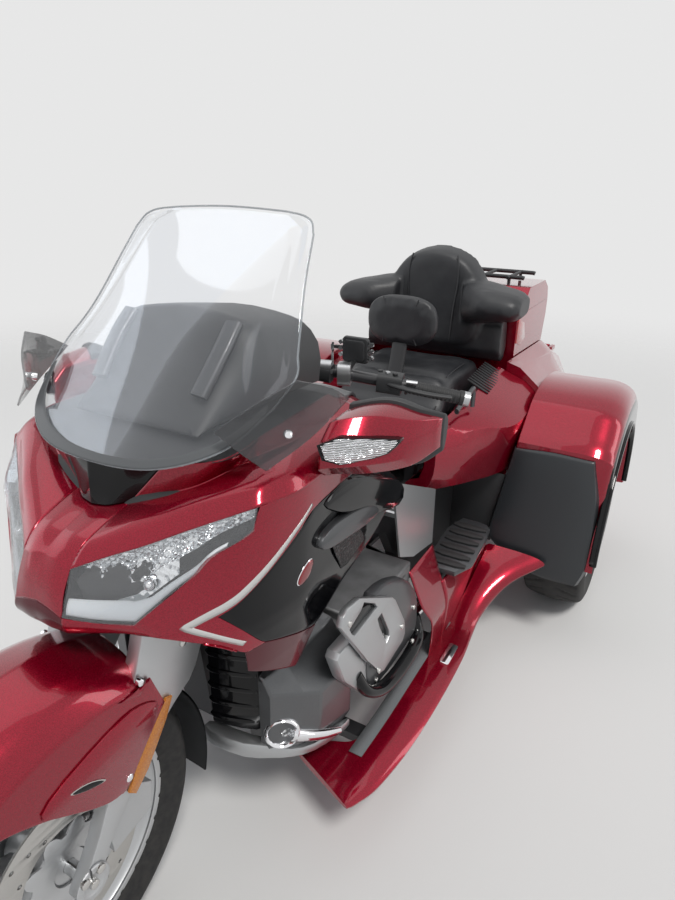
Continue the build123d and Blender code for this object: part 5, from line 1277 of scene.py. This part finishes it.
brake = swept(curve([(279, 1368, 800), (279, 1366, 850), (279, 1350, 856), (279, 1290, 842), (279, 1224, 826)], 40),
              ring(0.018, 0.014, 16), up=(1, 0, 0))
panel("park_brake_lever", [(brake, False, True, 0)], dark_cast)
louvre_parts = []
for station in range(1492, 1679, 17):
    louvre = rounded([(216, station), (286, station + 6), (286, station + 14), (216, station + 9)], 1)
    louvre_parts += shelves([louvre], 0, 5, 1, 0, lambda u, v, w: 841 + (v - 1480) * 0.1 - (u - 209) * 0.53)
plates("seat_louvres", louvre_parts, [satin])
half_track, rim_radius, rim_width = 563, 216, 178
outside = tire_profile(205, axle_height, rim_radius, rim_width, 12, 60)
inside = np.array([(-80, 217), (-92, 262), (-76, 296), (0, 302), (76, 296), (92, 262), (80, 217)])
for side, sign in (("left", 1), ("right", -1)):
    centre = (sign * half_track, wheelbase, axle_height)
    tire = spun(np.vstack([outside, inside]), centre, 300, tread(205, 5.5, 34, 1.1))
    panel(f"rear_tire_{side}_skin", [(tire, True, True, 0)], rubber, f"rear_tire_{side}", "tire_rubber",
          f"rear_wheel_{side}")
    panel(f"rear_rim_{side}_cast", rim_grids(centre, rim_radius, rim_width, 62, 120, 17.1, 7, 34, False), cast,
          f"rear_rim_{side}", "cast_silver", f"rear_wheel_{side}")
softened("mufflers", "exhaust", 2, bright, "chrome", 50)

# Running boards: painted glass-fibre planks that widen from a pointed front end and sweep up to the guards,
# with a grey grip strip, a small plain plate and an inner wall that closes the gap to the engine.
liners = flanks([[(1052, 300), (1052, 566), (1200, 566), (1478, 560), (1478, 300)]], 203, 207, 1)
liners += [(0, cutout([[(205, 300), (352, 300), (394, 400), (394, 552), (205, 552)]], 1474, 1478,
                      lambda u, v, w, sign=sign: at(sign * u, w, v), 1)) for sign in (1, -1)]
plates("inner_liners", liners, [satin])
plank = []
run = np.array([0.0, 0.25, 0.6, 0.86, 1.0, 0.99, 0.9, 0.5, 0.0])
fall = np.array([0.0, 0.0, -2.0, -7.0, -16.0, -28.0, -34.0, -35.0, -35.0])
for inner_x, inner_st, outer_x, outer_st, high, low in (
        (206, 502, 372, 437, 184, 166), (212, 524, 382, 458, 185, 158), (236, 562, 404, 520, 186, 151),
        (300, 600, 422, 640, 186, 151), (306, 720, 429, 760, 186, 151), (306, 880, 431, 900, 186, 151),
        (306, 1020, 428, 1030, 186, 151), (316, 1120, 419, 1130, 188, 152), (340, 1190, 418, 1200, 210, 168),
        (350, 1260, 436, 1272, 248, 200), (354, 1330, 476, 1338, 288, 246), (358, 1400, 552, 1402, 332, 292)):
    rise = np.where(fall < -8, fall * (high - low) / 35, fall)
    plank.append(at(inner_x + (outer_x - inner_x) * run, inner_st + (outer_st - inner_st) * run, high + rise))
planks = loft(plank, 90, 1)
walls = []
for front, rear, top in ((902, 1049, True), (1046, 1399, False)):
    column = [(346, 172), (354, 250), (355, 318), (338, 384)] + ([(320, 436), (302, 492)] if top else [])
    flat = along(column, 20)
    nose = np.interp(flat[:, 1], (172, 318, 384, 492), (60, 40, 0, -14)) * (1 if top else 0)
    walls.append(np.stack([at(flat[:, 0], station + nose * (1 - share),
                              flat[:, 1] + np.maximum(0, (station - 1150) * 0.18) * (flat[:, 1] < 300))
                           for share, station in zip(np.linspace(0, 1, 16), np.linspace(front, rear, 16))]))
panel("board_planks", wrapped(planks[0]), cherry, "running_boards", "cherry_paint", angle=40)
panel("board_walls", mirrored(*walls), cherry, wall=3, core=(0, axle_y + 1.1, 0.3))
strip = mottled("grip_strip", (2200, 2), ((0.35, (0.10, 0.105, 0.11)), (0.65, (0.24, 0.25, 0.26))),
                bump=(0.5, 0.0006),
                Base_Color=(0.16, 0.17, 0.18), Roughness=0.85)
board_top = 187.2
strips = np.stack([at(*along([(x0, 560, board_top), (x1, 700, board_top), (x2, 900, board_top),
                              (x3, 1040, board_top), (x4, 1130, 189)], 60).T)
                   for x0, x1, x2, x3, x4 in ((308, 310, 310, 311, 318), (342, 346, 346, 346, 350))])
panel("board_strips", mirrored(strips), strip, wall=-1.0, core=(0, axle_y + 0.8, -1))
tag = [(384, 955), (402, 955), (406, 960), (406, 1040), (402, 1045), (384, 1045), (380, 1040), (380, 960)]
plates("board_plates", shelves([tag], 183.5, 187.5, 0.8, 0, lambda u, v, w: (383 - u) * 0.12), [bright])


def board_slope(u, v, w):
    """Height of the passenger's boards, which rise rearwards."""
    return 395 + (v - 1060) * 0.111


pads = shelves([rounded([(272, 1062), (398, 1066), (398, 1300), (370, 1328), (272, 1328)], 1)], 1, 18, 4, 0,
               board_slope)
for station in range(1080, 1271, 38):
    rib = rounded([(284, station), (388, station + 2), (388, station + 24), (284, station + 24)], 1)
    pads += shelves([rib], 16, 25, 3, 1, board_slope)
plates("passenger_boards", pads, [dark_cast, grip_rubber], "floorboards", "satin_black")

# Floor, lights and camera: a plain pale studio floor, soft lamps, and the photograph's viewpoint.
floor_shade = Shade("studio_floor", Base_Color=(0.78, 0.775, 0.765), Roughness=0.9, Specular_IOR_Level=0.1)
away = floor_shade.node("ShaderNodeVectorMath", {"operation": "LENGTH"}, {0: floor_shade.place}, out=1)
floor_shade.set(Alpha=floor_shade.node("ShaderNodeMapRange", {"interpolation_type": "SMOOTHSTEP"},
                                       {"Value": away, "From Min": 2.2, "From Max": 7.0, "To Min": 1.0,
                                        "To Max": 0.0}))
floor_mesh = bpy.data.meshes.new("studio_floor")
floor_mesh.from_pydata([(-30, -30, 0), (30, -30, 0), (30, 30, 0), (-30, 30, 0)], [], [(0, 1, 2, 3)])
floor_mesh.materials.append(floor_shade.material)
floor = bpy.data.objects.new("studio_floor", floor_mesh)
bpy.context.scene.collection.objects.link(floor)
world = bpy.data.worlds.new("studio")
world.use_nodes = True
bpy.context.scene.world = world
sky = world.node_tree.nodes["Background"]
sky.inputs["Color"].default_value = (0.9, 0.94, 1.0, 1)
sky.inputs["Strength"].default_value = 0.36
backdrop = world.node_tree.nodes.new("ShaderNodeBackground")
backdrop.inputs["Color"].default_value = (0.80, 0.80, 0.80, 1)
rays, seen, both, either = (world.node_tree.nodes.new(kind)
                            for kind in ("ShaderNodeLightPath", "ShaderNodeMixShader", "ShaderNodeMath",
                                         "ShaderNodeMath"))
both.operation = either.operation = "MAXIMUM"
for source, target in ((rays.outputs["Is Camera Ray"], both.inputs[0]),
                       (rays.outputs["Is Glossy Ray"], both.inputs[1]), (both.outputs[0], either.inputs[0]),
                       (rays.outputs["Is Transmission Ray"], either.inputs[1]), (either.outputs[0], seen.inputs[0]),
                       (sky.outputs[0], seen.inputs[1]),
                       (backdrop.outputs[0], seen.inputs[2]),
                       (seen.outputs[0], world.node_tree.nodes["World Output"].inputs["Surface"])):
    world.node_tree.links.new(source, target)
sun = bpy.data.objects.new("sun", bpy.data.lights.new("sun", "SUN"))
sun.data.energy, sun.data.angle, sun.data.color = 1.7, 0.25, (1.0, 0.98, 0.95)
sun.rotation_euler = Vector((2.2, -1.6, 4.4)).to_track_quat("Z", "Y").to_euler()
bpy.context.scene.collection.objects.link(sun)


def lamp(name, place, target, size, watts, colour=(1, 1, 1)):
    """Rectangular soft lamp aimed at a point."""
    light = bpy.data.lights.new(name, "AREA")
    light.shape = "RECTANGLE"
    light.size, light.size_y = size
    light.energy = watts
    light.color = colour
    holder = bpy.data.objects.new(name, light)
    holder.location = place
    holder.rotation_euler = (Vector(target) - Vector(place)).to_track_quat("-Z", "Y").to_euler()
    bpy.context.scene.collection.objects.link(holder)


lamp("top", (-0.6, 0.3, 3.8), (0, 0, 0.5), (3.4, 2.6), 18)
lamp("left_strip", (3.4, 1.8, 1.7), (0, 0.4, 0.6), (0.7, 3.0), 18)
lamp("far_side", (-3.2, -1.6, 2.0), (0, -0.3, 0.7), (2.6, 2.8), 16, (0.92, 0.96, 1.0))

focal_pixels, picture_height = 636, 900
view = bpy.data.cameras.new("view")
view.sensor_width = 36
view.sensor_fit = "AUTO"
view.lens = focal_pixels / picture_height * view.sensor_width
view.clip_start = 0.05
camera = bpy.data.objects.new("view", view)
right, up, back = (0.86909, 0.49456, 0.00996), (-0.20123, 0.33508, 0.92045), (0.45188, -0.80196, 0.39073)
turn = Matrix((right, up, back)).transposed()
camera.matrix_world = Matrix.Translation((0.819, axle_y - 0.416, 1.424)) @ turn.to_4x4()
bpy.context.scene.collection.objects.link(camera)
bpy.context.scene.camera = camera
bpy.context.scene.view_settings.view_transform = "Standard"
